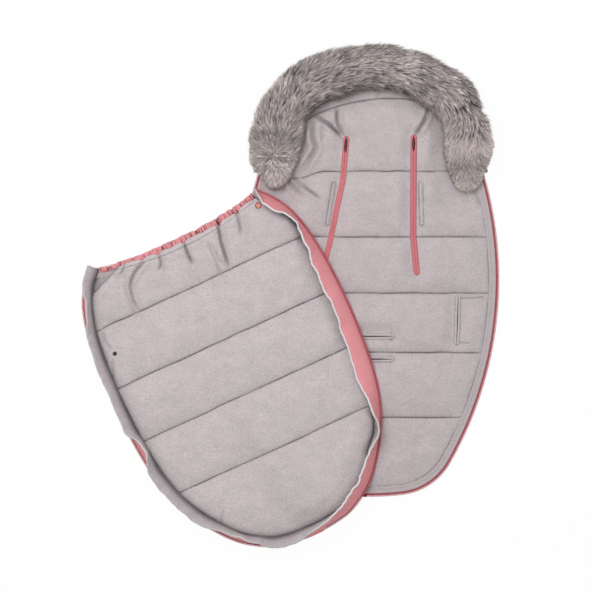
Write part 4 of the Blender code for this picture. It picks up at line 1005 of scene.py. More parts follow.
def build_hood_facing():
    """The fleece strip between the curved hood seam and the rim under the fur."""
    x, y = PAD_LINING_LOOP.T
    above = np.flatnonzero((y > HOOD_ENDS_Y) & (hood_radius(x, y) > HOOD_SEAM_RADIUS))
    rim = inset_loop(PAD_LOOP, PAD_OUT, SHELL_INSET + CLEARANCE)[above]
    loop = np.vstack([rim, hood_arc(HOOD_SEAM_RADIUS + 0.0005, math.pi * 3 / 4, math.pi / 4)])

    def top(x, y):
        under_fur = smooth_step(1 - (gap_to(FUR_LINE[::2], x, y) - FUR_HALF_WIDTH * 0.6) / 0.02)
        seam = np.abs(hood_radius(x, y) - HOOD_SEAM_RADIUS)
        fold = 0.0036 * (1 - fading(seam, 0.006)) + 0.0010 * grain(x, y, 0.02, 8)
        fold += fold_relief(x, y, PAD_CREASES[-1:], pad_curve)
        return LINING_SEAM_Z - 0.0008 + np.maximum(fold * (1 - 0.8 * under_fur), -0.0005)

    # Painted shade along the curved seam and under the fur's inner edge
    def painted_shade(x, y):
        seam = np.abs(hood_radius(x, y) - HOOD_SEAM_RADIUS)
        return np.clip(0.5 * bell(seam, 0.0013) + fur_shade(x, y), 0, 1)

    facing = sheet_mesh("hood_fleece_facing", [loop], 0.0024, level(LINING_BOTTOM), top, FLEECE, "pad",
                        painted_shade=painted_shade)
    stand_in(facing, "hood_facing")
    return above


# How far from the outline the strip's row of stitches lies
STRIP_STITCH = 0.0141


def build_edge_strip(above):
    """The flat fleece strip between the quilt and the zip, with its row of stitches."""
    path = run(above[-1] + 1, above[0] - 1, len(PAD_LOOP))
    low = ZIP_Z + 0.0007

    def section(k):
        wave = 0.0004 * math.sin(path[k] * 0.9) + 0.0003 * math.sin(path[k] * 0.37)
        return ((0.0073, low), (0.0205, low), (0.0205, low + 0.0014), (0.0170, low + 0.0018 + wave),
                (STRIP_STITCH + 0.0008, low + 0.0017), (STRIP_STITCH, low + 0.0011),
                (STRIP_STITCH - 0.0008, low + 0.0017), (0.0095, low + 0.0018 - wave), (0.0073, low + 0.0012))

    strip = sweep("pad_edge_strip", place_rings(PAD_LOOP[path], PAD_OUT[path], section), STRIP_FLEECE, "pad")
    stand_in(strip, "back_edge_facing")
    line_length(PAD_LOOP[path])


def build_pad_shell():
    """The coral outer fabric: flat on the floor and turned up to the zip all round."""
    outline = inset_loop(PAD_LOOP, PAD_OUT, SHELL_FLOOR_INSET)
    floor = sheet_mesh("pad_shell_floor", [outline] + strap_holes(), COARSE, level(0.0), level(SHELL_THICK),
                       CORAL, "pad")

    def section(k):
        wave = 0.0005 * math.sin(k * 0.31) + 0.0004 * math.sin(k * 0.13)
        return ((0.0146, 0.0), (0.0098 + wave, 0.0), (0.0080 + wave, 0.0008), (0.0071, 0.0030),
                (0.0070, 0.0062), (0.0080, 0.0062), (0.0082, 0.0034), (0.0090 + wave, 0.0018),
                (0.0102 + wave, 0.0011), (0.0146, 0.0010))

    rim = sweep("pad_shell_rim", place_rings(PAD_LOOP, PAD_OUT, section), CORAL, "pad", closed=True)
    for piece in (floor, rim):
        stand_in(piece, "back_shell")
    line_length(PAD_LOOP)
    return floor


# The height of a lip's foot, and the lips' distance from the slot's middle there
LIP_FOOT = 0.0003
LIP_MIDDLE = 0.00008


def lip_rings(line, sign, half, opening, opening_length):
    """Rings of one soft lip of a slot. The two lips meet but for an opening at the line's first end."""
    along = ways(line)
    ends = np.linspace(1, 0, 7)[:-1] * half
    path = np.vstack([line[0] - along[0] * ends[:, None], line, line[-1] + along[-1] * ends[::-1][:, None]])
    first, last = (np.repeat(end, len(ends), axis=0) for end in (along[:1], along[-1:]))
    way = np.vstack([first, along, last])
    beyond = np.concatenate([ends, np.zeros(len(line)), ends[::-1]])
    travel = travelled(path)
    wide = half * np.sqrt(np.clip(1 - (beyond / half) ** 2, 0.0004, 1))
    share = np.clip((travel - half * 0.5) / opening_length, 0, 1)
    gap = np.minimum(0.00012 + opening * np.sin(math.pi * share) ** 0.6, wide * 0.6)
    height = pad_top(*path.T)
    ripple = 0.0005 * grain(travel, np.full(len(travel), sign * 0.5), 0.011, 17)
    rings = []
    for point, step, g, w, z, wave in zip(path, way, gap, wide, height, ripple):
        side = np.array((-step[1], step[0])) * sign
        lip = w - g
        swell = min(1.0, lip / (half * 0.5))
        section = ((LIP_MIDDLE, LIP_FOOT), (w, LIP_FOOT), (w, z),
                   (w - lip * 0.12, z + (0.0012 + wave) * swell),
                   (w - lip * 0.45, z + (0.0020 + wave) * swell),
                   (g + lip * 0.2, z + (0.0019 + wave) * swell),
                   (g, z + 0.0010), (g, LIP_FOOT + 0.0035), (LIP_MIDDLE, LIP_FOOT + 0.0020))
        rings.append([(*(point + side * u), h) for u, h in section])
    return rings


# Painted shade at the nine corners of a lip's section, from its foot round to the opening: dark down its
# outer side and darkest inside the opening
LIP_SHADE = (0.5, 0.5, 0.42, 0.08, 0.0, 0.0, 0.10, 1.0, 1.0)


def build_lips(lines, name, node, material, half, opening, opening_length=None):
    """Two soft lips along each of some slots."""
    lips = []
    for word, line in lines.items():
        length = opening_length or float(np.linalg.norm(line[-1] - line[0])) + half
        for edge, sign in (("inner", 1), ("outer", -1)):
            rings = lip_rings(line, sign, half, opening, length)
            lip = sweep(f"{name}_{word}_{edge}", rings, material, "pad")
            mark_painted_shade(lip, np.tile(LIP_SHADE, len(rings)))
            lips.append(stand_in(lip, f"{node}_{word}"))
    return lips


def build_welt(side, line):
    """A closed slot beside a shoulder slit, with a groove round it."""
    def groove(x, y):
        return bell(gap_to(line, x, y) - 0.0030, 0.0008)

    def top(x, y):
        return pad_top(x, y) + 0.0010 - 0.0014 * groove(x, y) + 0.0005 * grain(x, y, 0.009, 19)

    # Painted shade in the groove round the welt
    welt = sheet_mesh(f"shoulder_welt_{side}_fleece", [loop_round(line, WELT_HALF)], 0.0018,
                      level(LINING_BOTTOM), top, FLEECE, "pad", painted_shade=lambda x, y: 0.55 * groove(x, y))
    return stand_in(welt, f"shoulder_welt_{side}")


def build_slots(shell):
    """The bound shoulder slits, the waist and crotch slots and the closed welts; the shell it is given is not
    used.
    """
    bound = build_lips(SLITS, "shoulder_slit_lip", "shoulder_slit_binding", CORAL_BINDING,
                       SLIT_REACH, 0.0026, 0.030)
    for lines, word, opening in ((WAISTS, "waist", 0.0006), (CROTCHES, "crotch", 0.0011)):
        bound += build_lips(lines, f"{word}_slot_lip", f"{word}_slot_facing", FLEECE,
                            BELT_REACH, opening)
    bound += [build_welt(side, line) for side, line in WELT_PLACES.items()]


TOOTH_RADIUS = 0.0010
TOOTH_LENGTH = 0.0028
TOOTH_INSET = 0.0021


def coil_tooth():
    """One tooth of the coils: a flattened bar along X with a rounded head and a drawn-in foot."""
    bpy.ops.object.select_all(action="DESELECT")
    bpy.ops.mesh.primitive_cylinder_add(vertices=6, radius=TOOTH_RADIUS, depth=TOOTH_LENGTH,
                                        location=(-TOOTH_INSET, 0, 0), rotation=(0, math.pi / 2, 0))
    tooth = bpy.context.object
    tooth.name = "coil_tooth"
    bpy.ops.object.transform_apply(location=True, rotation=True, scale=True)
    bpy.ops.object.mode_set(mode="EDIT")
    bpy.ops.mesh.select_all(action="SELECT")
    bpy.ops.transform.resize(value=(1.0, 0.78, 1.35))
    for way, thickness, depth in ((1, 0.0004, 0.0003), (-1, 0.0003, 0.0002)):
        bpy.ops.mesh.select_all(action="DESELECT")
        shape = bmesh.from_edit_mesh(tooth.data)
        for face in shape.faces:
            face.select_set(face.normal.x * way > 0.9)
        bmesh.update_edit_mesh(tooth.data)
        bpy.ops.mesh.inset(thickness=thickness, depth=depth)
    bpy.ops.object.mode_set(mode="OBJECT")
    tooth.data.materials.append(CORAL_COIL)
    return tooth


# The tape's corners: inset from the outline, and height from the coil's middle
TAPE_SECTION = ((0.0033, -0.0004), (0.0178, -0.0004), (0.0178, 0.0004), (0.0033, 0.0004))


def join_teeth(name, line, middle):
    """Copies of the first tooth along a line, joined to one coil."""
    bpy.ops.object.select_all(action="DESELECT")
    for (x, y), (u, v) in zip(line, beside(line)):
        copy = TOOTH.copy()
        copy.data = TOOTH.data.copy()
        copy.matrix_world = Matrix(((u, -v, 0, x), (v, u, 0, y), (0, 0, 1, middle), (0, 0, 0, 1)))
        bpy.context.collection.objects.link(copy)
        copy.select_set(True)
        bpy.context.view_layer.objects.active = copy
    bpy.ops.object.join()
    teeth = bpy.context.object
    teeth.name = teeth.data.name = name
    bpy.ops.object.transform_apply(location=True, rotation=True, scale=True)
    return teeth


def build_zip_half(name, node, side, loop, out, path, tape_path, body, middle, move=None):
    """A coil and its tape along an outline. The tape's path may reach further than the coil's."""
    teeth = join_teeth(f"{name}_coil_{side}", even(loop[path], TOOTH_PITCH), middle)
    section = [(inset, middle + height) for inset, height in TAPE_SECTION]
    rings = np.array(place_rings(loop[tape_path], out[tape_path], section))
    if move:
        points = np.empty(3 * len(teeth.data.vertices), np.float32)
        teeth.data.vertices.foreach_get("co", points)
        teeth.data.vertices.foreach_set("co", move(points.reshape(-1, 3)).astype(np.float32).ravel())
        teeth.data.update()
        rings = move(rings)
    teeth.data.shade_smooth()
    teeth.data.set_sharp_from_angle(angle=math.radians(40))
    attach(teeth, body)
    tape = sweep(f"{name}_tape_{side}_woven", rings, CORAL_TAPE, body)
    stand_in(teeth, f"{node}_teeth_{side}")
    stand_in(tape, f"{node}_tape_{side}")
    line_length(loop[tape_path])


def build_pad_zips():
    """From the toe up to each shoulder. The tapes reach closer to the toe's middle than the coils."""
    for side, sign in (("right", 1), ("left", -1)):
        top = nearest(PAD_LOOP, (sign * side_x(SHOULDER_Y), ZIP_TOP_Y))
        paths = []
        for gap in (ZIP_TOE_GAP, TAPE_TOE_GAP):
            toe = nearest(PAD_LOOP, (ZIP_SPLIT_X + sign * gap, PAD_TOE_Y))
            paths.append(run(*(toe, top)[::sign], len(PAD_LOOP)))
        build_zip_half("pad_zip", "back_zip", side, PAD_LOOP, PAD_OUT, *paths, "pad", ZIP_Z)


# Fur

def fur_frame():
    """The fur's middle line, the ways along it and outwards, and how far it reaches inwards and outwards."""
    along = ways(FUR_LINE[:, :2])
    reach = np.column_stack([gap_to(edge, *FUR_LINE[:, :2].T) for edge in (FUR_INNER, FUR_OUTER)])
    return FUR_LINE, along, np.column_stack([along[:, 1], -along[:, 0]]), reach


# The middle of the whorl on the left leg
WHORL = photo(274.5, 160.0)
FUR_CORE_HEIGHT = 0.62
FUR_CORNERS = 16
FUR_OVERHANG = (0.0045, 0.0085)
HAIR_LENGTH = 0.0235
END_CLUMPS = 150
# How far the hair leans outward from the arch, by share of the way from the right leg's end to the left one's
HAIR_LEAN = ((0.0, -0.3), (0.14, -0.35), (0.28, -0.35), (0.42, -0.15), (0.52, 0.05), (0.64, 0.35),
             (0.74, 0.6), (0.86, 0.8), (1.0, 0.8))
FUR_FOLDS = (((446, 115), (456, 106), (465, 99)), ((465, 99), (474, 105), (482, 113)),
             ((303, 122), (308, 116), (313, 111)))


def build_fur_skin():
    """The knitted base that the hair stands on."""
    line, _, side, reach = fur_frame()
    rings = []
    for (x, y, width), step, (inside, outside) in zip(line, side, reach):
        ring = []
        for k in range(FUR_CORNERS):
            turn = 2 * math.pi * (k + 0.5) / FUR_CORNERS
            # On the inner side the dark skin reaches just past the fur's edge, as a painted shadow line under
            # the hair
            half = max(outside - FUR_OVERHANG[1], 0.004) if math.cos(turn) > 0 else inside + 0.0012
            out = half * math.cos(turn)
            middle = FUR_HEIGHT * width * FUR_CORE_HEIGHT / 2
            if math.cos(turn) < -0.7:
                middle *= 0.55
            ring.append((x + step[0] * out, y + step[1] * out, FUR_BASE + middle * (1 + math.sin(turn))))
        rings.append(ring)
    stand_in(sweep("fur_skin", rings, FUR_SKIN_AND_SHADOW, "pad"), "fur_trim")


def hair_roots(rng, count):
    """Roots of clumps spread over the fur's base, with the ways along, outwards and off the base there."""
    line, along, _, reach = fur_frame()
    weight = reach.sum(axis=1)
    place = rng.choice(len(line), size=count, p=weight / weight.sum()) + rng.uniform(-0.5, 0.5, count)
    place = np.clip(place, 0, len(line) - 1)
    on_end = np.where(np.arange(count) < count - END_CLUMPS, 0, np.where(np.arange(count) % 2, 1, -1))
    place = np.where(on_end < 0, 0, np.where(on_end > 0, len(line) - 1, place))

    def at(values):
        return np.column_stack([np.interp(place, np.arange(len(line)), column) for column in values.T])

    base, way, half = at(line), at(along), at(reach - np.array(FUR_OVERHANG))
    out = np.column_stack([way[:, 1], -way[:, 0]])
    turn = rng.uniform(-0.25, math.pi + 0.25, count)
    half = np.maximum(np.where(np.cos(turn) > 0, half[:, 1], half[:, 0]), 0.003)
    middle = FUR_HEIGHT * base[:, 2] * FUR_CORE_HEIGHT / 2
    spread = np.where(on_end == 0, 1.0, np.sqrt(rng.uniform(0.0, 1.0, count)))
    below = np.where((on_end != 0) & (rng.uniform(0.0, 1.0, count) < 0.4), -0.8, 1.0)
    root = np.column_stack([base[:, :2] + out * (half * spread * np.cos(turn))[:, None],
                            FUR_BASE + middle + middle * spread * below * np.sin(turn)])
    normal = np.column_stack([out * np.cos(turn)[:, None], np.sin(turn)])
    off_end = np.column_stack([way * on_end[:, None], np.full(count, 0.25)])
    normal = np.where(on_end[:, None] == 0, normal, off_end)
    return root, normal, way, out, turn, place / (len(line) - 1), base[:, 2], on_end


def comb(rng, root, way, out, share, turn):
    """Which way a clump is combed: round the arch, and outwards from the whorl on the left leg."""
    across = np.cos(turn)
    lean = by_table(share, HAIR_LEAN) + np.where(across > 0, 0.22, 0.05) * across
    lean = np.where(across < -0.3, np.clip(lean, -0.10, 0.35), lean)
    vector = np.zeros((len(root), 3))
    vector[:, :2] = -way + out * lean[:, None]
    gap = root[:, :2] - np.array(WHORL)
    distance = np.linalg.norm(gap, axis=1)
    radial = gap / np.maximum(distance, 1e-6)[:, None]
    pull = np.where(root[:, 0] < 0, smooth_step((0.095 - distance) / 0.055), 0.0)[:, None]
    vector[:, :2] = vector[:, :2] * (1 - pull) + radial * pull
    leg = np.where(root[:, 0] > 0, smooth_step((0.362 - root[:, 1]) / 0.02), 0.0)[:, None]
    slant = np.array((-0.30, -0.85)) + np.clip(across - 0.1, 0, 1)[:, None] * np.array((0.95, 0.80))
    vector[:, :2] = vector[:, :2] * (1 - leg) + slant * leg
    wander = np.column_stack([grain(root[:, 0], root[:, 1], 0.026, seed) for seed in (51, 52)])
    loose = 0.13 + 1.8 * bell(distance, 0.012)
    vector[:, :2] += 0.30 * wander + rng.normal(0, 1, (len(root), 2)) * loose[:, None]
    return unit(vector)


def comb_clumps(rng, count, folds):
    """Clumps of hair: their roots, ways off the base, ways they lie, ends, standing height, and tone with
    painted shade.
    """
    root, normal, way, out, turn, share, width, on_end = hair_roots(rng, count)
    fold = np.minimum.reduce([gap_to(line, root[:, 0], root[:, 1]) for line in folds])
    root[:, 2] -= 0.012 * bell(fold, 0.006) * np.sin(np.clip(turn, 0, math.pi))
    combed = comb(rng, root, way, out, share, turn)
    hanging = np.column_stack([way * (0.45 * on_end)[:, None], np.full(count, -0.75)])
    hanging += rng.normal(0, 0.22, (count, 3))
    direction = np.where(on_end[:, None] == 0, combed, hanging)
    distance = np.linalg.norm(root[:, :2] - np.array(WHORL), axis=1)
    stand = 0.30 + 0.20 * np.where(root[:, 0] < 0, smooth_step((0.022 - distance) / 0.018), 0.0)
    length = HAIR_LENGTH * (0.5 + 0.5 * width) * rng.uniform(0.70, 1.20, count)
    length *= (0.40 + 0.60 * smooth_step(fold / 0.008)) * np.where(on_end == 0, 1.0, 0.75)
    # Painted shade: hair that lies low on the sides is darker, most of all on the inner edge, and hair in the
    # folds much darker; the rest of the tone differs at random and is a little lighter towards the legs
    low = smooth_step((np.sin(turn) + 0.25) / 0.55)
    low *= 0.30 + 0.70 * smooth_step((np.cos(turn) + 0.97) / 0.22)
    tone_and_shade = 0.50 + rng.normal(0, 0.26, count) + 0.20 * grain(root[:, 0], root[:, 1], 0.03, 61)
    tone_and_shade += 0.08 * smooth_step((0.42 - root[:, 1]) / 0.08)
    tone_and_shade = np.clip(tone_and_shade, 0, 1.15) * (0.30 + 0.70 * low) * (0.10 + 0.90 * smooth_step(fold / 0.0055))
    tuft = root + normal * (length * stand)[:, None] + direction * (length * 0.86)[:, None]
    return root, normal, direction, tuft, length * stand, tone_and_shade


def hold_back(rng, root, tip, stray):
    """Tips drawn back towards their roots where they would reach beyond the fur's area."""
    over = gap_to(FUR_AREA, tip[:, 0], tip[:, 1], closed=True)
    over = np.where(within(FUR_AREA, tip[:, 0], tip[:, 1]), 0.0, over)
    over = np.clip(over - rng.uniform(0.0, 0.0065, len(tip)) - np.where(stray, STRAY_REACH, 0.0), 0, 0.018)
    tip = tip - (tip - root) * (over / np.maximum(np.linalg.norm(tip - root, axis=1), 1e-6))[:, None]
    tip[:, 2] = np.maximum(tip[:, 2], 0.0035)
    return tip


STRAY_SHARE = 0.10
STRAY_REACH = 0.0035
STRAY_RISE = (0.0020, 0.0075)
STRAND_HALF = (0.00024, 0.00046)
# Rows of a strand: share of the way from root to tip, and width
STRAND_ROWS = ((0.0, 0.8), (0.38, 1.0), (0.72, 0.7))


def build_hair(pieces=8, clumps=3300, strands=7):
    """The hair in several pieces: fine tapered ribbons in small clumps, combed the way the fur lies."""
    folds = [photo_line(*line) for line in FUR_FOLDS]
    for index in range(pieces):
        rng = np.random.default_rng(700 + index)
        parts = comb_clumps(rng, clumps, folds)
        root, normal, direction, tuft, stand, tone_and_shade = (np.repeat(part, strands, axis=0) for part in parts)
        total = len(root)
        strand_root = root + rng.normal(0, 1, (total, 3)) * (0.0015, 0.0015, 0.0006)
        tip = tuft + rng.normal(0, 1, (total, 3)) * 0.0006 + (strand_root - root) * 0.20
        tip += direction * rng.normal(0, 0.0030, (total, 1))
        stray = rng.uniform(0.0, 1.0, total) < STRAY_SHARE
        tip += normal * np.where(stray, rng.uniform(*STRAY_RISE, total), 0.0)[:, None]
        tip = hold_back(rng, strand_root, tip, stray)
        bend = (strand_root + tip) / 2 + normal * (stand * 0.55)[:, None]
        thick = rng.uniform(*STRAND_HALF, total)
        flat = unit(np.cross(tip - strand_root, normal + rng.normal(0, 0.45, (total, 3))))
        rows = []
        for t, wide in STRAND_ROWS:
            centre = strand_root * (1 - t) ** 2 + 2 * bend * t * (1 - t) + tip * t**2
            rows += [centre - flat * (thick * wide)[:, None], centre + flat * (thick * wide)[:, None]]
        points = np.stack(rows + [tip], axis=1).reshape(-1, 3)
        tone_and_shade = np.clip(tone_and_shade + rng.normal(0, 0.13, total), 0, 1.2)
        hair_piece(f"fur_hair_{index}", points, total, tone_and_shade, rng)


def hair_piece(name, points, total, tone_and_shade, rng):
    """One piece of strands, seven points each, with the place along the strand and its tone with painted
    shade kept in them.
    """
    start = np.arange(total) * 7
    quads = np.concatenate([np.column_stack([start + k + j for j in (0, 1, 3, 2)]) for k in (0, 2)])
    tips = np.column_stack([start + 4, start + 5, start + 6])
    corners = np.concatenate([quads.ravel(), tips.ravel()])
    sizes = np.concatenate([np.full(len(quads), 4), np.full(len(tips), 3)])
    mesh = bpy.data.meshes.new(name)
    mesh.vertices.add(len(points))
    mesh.vertices.foreach_set("co", points.astype(np.float32).ravel())
    mesh.loops.add(len(corners))
    mesh.loops.foreach_set("vertex_index", corners.astype(np.int32))
    mesh.polygons.add(len(sizes))
    mesh.polygons.foreach_set("loop_start", np.concatenate([[0], np.cumsum(sizes)[:-1]]).astype(np.int32))
    mesh.update(calc_edges=True)
    mesh.shade_smooth()
    colour = np.ones((total, 7, 4))
    colour[:, :, 0] = [t for t, _ in STRAND_ROWS for _ in range(2)] + [1.0]
    colour[:, :, 1] = tone_and_shade[:, None]
    colour[:, :, 2] = rng.random(total)[:, None]
    mark = mesh.attributes.new("hair", "FLOAT_COLOR", "POINT")
    mark.data.foreach_set("color", colour.astype(np.float32).ravel())
    stand_in(mount(name, mesh, HAIR, "pad"), "fur_trim")


# Front cover

def turned(points):
    """Points of the cover's own frame as they lie on the floor."""
    points = np.array(points, float)
    x, y = points[..., 0].copy(), points[..., 1].copy()
    points[..., 0] = COVER_PLACE[0] + x * COVER_TURN_COS - y * COVER_TURN_SIN
    points[..., 1] = COVER_PLACE[1] + x * COVER_TURN_SIN + y * COVER_TURN_COS
    return points


def turned_back(x, y):
    """A place on the floor in the cover's own frame."""
    x, y = x - COVER_PLACE[0], y - COVER_PLACE[1]
    return (x * COVER_TURN_COS + y * COVER_TURN_SIN, y * COVER_TURN_COS - x * COVER_TURN_SIN)


def cover_place(px, py):
    """A place in the photograph in the cover's own frame."""
    return turned_back(*photo(px, py))


def cover_curve(places, steps=12):
    return smooth_curve([cover_place(*place) for place in places], steps)


def cover_lift(x, y):
    """How high the cover lies: over the pad, then down to the floor beside it."""
    place = turned(np.column_stack([np.ravel(x), np.ravel(y)]))
    out = gap_to(PAD_LOOP[::4], *place.T, closed=True)
    out = np.where(within(PAD_LOOP[::4], *place.T), 0.0, out)
    lift = COVER_BASE * (1 - smooth_step((out - COVER_DRAPE_START) / COVER_DRAPE_LENGTH))
    return lift.reshape(np.shape(x))


def hem_rise(x):
    """How far the gathered hem stands beyond the outline."""
    return by_table(x, HEM_RISE) / 1000


def scallops(points):
    """How far the gathered fleece swells over the hem's casing between its notches."""
    x = points[:, 0]
    value = 0.0052 + hem_rise(x) + 0.0024 * smooth_step((-0.03 - x) / 0.05)
    value += 0.0010 * grain(x, np.zeros(len(x)), 0.013, 45)
    for px, py, deep in GATHERS:
        value -= 0.0066 * deep * fading(np.abs(x - cover_place(px, py)[0]), 0.0045)
    return value * smooth_step((0.162 - np.abs(x)) / 0.012)


def edge_shift(points):
    """How much nearer to the outline the fleece and the flap lie at the cover's right shoulder."""
    share = (points[:, 1] - COVER_TOE_Y) / COVER_LENGTH
    return np.where(points[:, 0] > 0, by_table(share, SHOULDER_SHIFT), 0.0) / 1000


def cover_inner_loop(inset, hem_inset, swell=False):
    """The outline of a layer: inset from the sides and close behind the hem's casing."""
    gap = np.full(len(COVER_LOOP), inset)
    if swell:
        gap -= edge_shift(COVER_LOOP)
    hem = np.arange(HEM_FIRST + 8, HEM_LAST - 7)
    gap[hem] = hem_inset - (scallops(COVER_LOOP[hem]) if swell else 0.0)
    keep = np.ones(len(COVER_LOOP), bool)
    keep[HEM_FIRST - 2:HEM_FIRST + 8] = False
    keep[HEM_LAST - 7:HEM_LAST + 3] = False
    return (COVER_LOOP - COVER_OUT * gap[:, None])[keep]


COVER_FLEECE_LOOP = cover_inner_loop(COVER_LINING_INSET, HEM_WIDTH + HEM_COVERED, swell=True)
FOLDED_CORNER = np.array([cover_place(90, 296), cover_place(119, 266)])
COVER_ROWS = [COVER_TOE_Y + COVER_LINING_INSET]
COVER_ROWS += [COVER_TOE_Y + share * COVER_LENGTH for share in COVER_SEAM_SHARES]
COVER_ROWS.append(COVER_TOE_Y + COVER_LENGTH - HEM_SAG)

COVER_CREASES = (
    (((215, 212), (217.5, 224), (219.5, 232), (221, 241), (225, 254), (231, 272)), 0.0095, 0.0026, 0.0040),
    (((206, 238), (211, 250), (216, 262), (222, 280)), 0.0050, 0.0034, 0.0026),
    (((212, 243), (217, 256), (223, 268)), 0.0034, 0.0030, 0.0018),
    (((179, 232), (184, 244), (188, 254), (194, 267)), 0.0090, 0.0022, 0.0032),
    (((148, 252), (144, 262), (136, 271), (131, 282), (131, 292), (135, 305), (143, 318)),
     0.0074, 0.0030, 0.0034),
    (((127, 276), (126, 288), (130, 303), (139, 321)), 0.0044, 0.0034, 0.0024),
    (((158, 247), (159.5, 257), (161, 264), (158, 272)), 0.0062, 0.0022, 0.0022),
    (((235, 205), (238, 216), (240, 226), (242, 238)), 0.0065, 0.0030, 0.0026),
    (((125, 258), (124, 268), (119, 276)), 0.0050, 0.0022, 0.0018),
    (((101, 330), (105, 343), (113, 352)), 0.0035, 0.0030, 0.0015),
    (((114, 357), (112, 368), (113, 382)), 0.0035, 0.0032, 0.0015),
    (((224, 508), (222, 520), (221, 530)), 0.0025, 0.0028, 0.0012),
)
STITCHED_EDGE = HEM_LINE[8:-8] - COVER_OUT[HEM_FIRST + 8:HEM_LAST - 7] * 0.0172

# Where the leaning flap shades the quilt
FLAP_SHADOWS = ((((284, 215), (291, 220), (295.5, 229), (300, 240)), 0.0070, 0.34),
                (((300, 240), (306, 252), (313, 270), (322, 294), (334, 318), (342, 340)), 0.0095, 0.24),
                (((368, 410), (375, 424), (372, 436), (364, 452)), 0.0055, 0.34),
                (((362, 462), (356, 480), (344, 496), (330, 510)), 0.0040, 0.16))


def cover_rows(x):
    """The cover's seams from the toe up to above the hem."""
    rows = wavy_rows(x, COVER_ROWS[1:-1], 0.0011, 0.030, 16)
    return [COVER_ROWS[0] - 0.02] + rows + [COVER_ROWS[-1] + 0.05]


# The band below the hem in which the quilt stays full
HEM_BAND = HEM_WIDTH + 0.012


def cover_rise(x, y, hem):
    """How full the quilt is: less near its edges, and full right up to the gathered hem."""
    edge = gap_to(COVER_FLEECE_LOOP[::3], x, y, closed=True)
    side = np.clip(edge / 0.035, 0, 1) ** 0.5
    by_hem = np.clip(edge / 0.006, 0.15, 1) ** 0.5 * smooth_step((0.16 - np.abs(x)) / 0.03)
    return np.where(hem < edge + HEM_BAND, np.maximum(side, by_hem), side)


def cover_top(x, y):
    """Height of the cover's fleece, without its lift."""
    rows = cover_rows(x)
    hem, along = near_line(HEM_LINE[::4], x, y)
    rise = cover_rise(x, y, hem)
    relief, seam_gap = seam_relief(x, y, rows[1:-1], 0.009, 30)
    height = COVER_SEAM_Z + COVER_CROWN * puff(x, y, rows, 0.5) * rise + relief
    height -= 0.0016 * bell(gap_to(STITCHED_EDGE[::3], x, y), 0.0012)
    height += 0.0024 * fading(hem, 0.06) * rise * grain(along, hem * 0.08, 0.026, 42)
    height += rise * waves(x, y, seam_gap, (0.0015, 0.06, 43), (0.0009, 0.022, 44))
    height += fold_relief(x, y, COVER_CREASES, cover_curve)
    beyond = beyond_corner(x, y)
    height += 0.0022 * bell(beyond + 0.009, 0.008)
    height -= (height - COVER_LINING_BOTTOM - 0.0014) * smooth_step((beyond + 0.0022) / 0.0032)
    return np.maximum(height, COVER_LINING_BOTTOM + LEAST_FLEECE)


def beyond_corner(x, y):
    """How far a place lies beyond the folded corner of the quilt at the top left."""
    (start_x, start_y), (way_x, way_y) = FOLDED_CORNER[0], unit(np.diff(FOLDED_CORNER, axis=0))[0]
    return (y - start_y) * way_x - (x - start_x) * way_y + 0.0012 * grain(x, y, 0.012, 46)


def cover_painted_shade(x, y):
    """Painted shade on the cover's pile: along seams and folds, in the valley at its edge, along the stitched
    edge, under the leaning flap and in the folded corner.
    """
    value = seam_painted_shade(x, y, cover_rows(x)[1:-1], 13)
    value += fold_painted_shade(x, y, COVER_CREASES, cover_curve, 24, 30, 0.30)
    edge = gap_to(COVER_FLEECE_LOOP[::3], x, y, closed=True)
    value += np.where(gap_to(HEM_LINE[::4], x, y) > HEM_BAND, 0.90 * fading(edge, 0.0052), 0.0)
    value += 0.42 * bell(gap_to(STITCHED_EDGE[::3], x, y), 0.0008)
    for line, width, depth in FLAP_SHADOWS:
        value += depth * bell(gap_to(cover_curve(line, 4), x, y), width)
    beyond = beyond_corner(x, y)
    value += 0.30 * smooth_step(beyond / 0.003) + 0.5 * bell(beyond, 0.0018)
    return np.clip(value, 0, 1)


def build_cover_lining():
    """The quilted fleece of the cover, with holes for its two studs."""
    holes = [turn_points(stud, stud[2] + CLEARANCE, 0, 2 * math.pi, 25)[:-1]
             for stud in (CORNER_STUD, SIDE_STUD)]
    seams = [seam_line(lambda x, k=k: cover_rows(x)[k], COVER_WIDTH / 2) for k in range(1, 5)]
    seams += [cover_curve(line) for line, *_ in COVER_CREASES] + [FOLDED_CORNER, STITCHED_EDGE]

    def under(x, y):
        over_hem = smooth_step((HEM_WIDTH + 0.0030 - gap_to(HEM_LINE[::4], x, y)) / 0.003)
        return cover_lift(x, y) + COVER_LINING_BOTTOM + 0.0034 * over_hem

    lining = sheet_mesh("cover_fleece_quilt", [COVER_FLEECE_LOOP] + holes, FINE, under,
                        lambda x, y: np.maximum(cover_lift(x, y) + cover_top(x, y), under(x, y) + 0.0010),
                        COVER_FLEECE, "cover", seams, turned, cover_painted_shade)
    stand_in(lining, "cover_lining")


def build_cover_shell():
    """The coral outer fabric of the cover, draped over the pad's edge."""
    outline = cover_inner_loop(SHELL_INSET, HEM_WIDTH + CLEARANCE)
    shell = sheet_mesh("cover_shell_fabric", [outline], COARSE, cover_lift,
                       lambda x, y: cover_lift(x, y) + SHELL_THICK, CORAL, "cover", (), turned)
    stand_in(shell, "cover_shell")


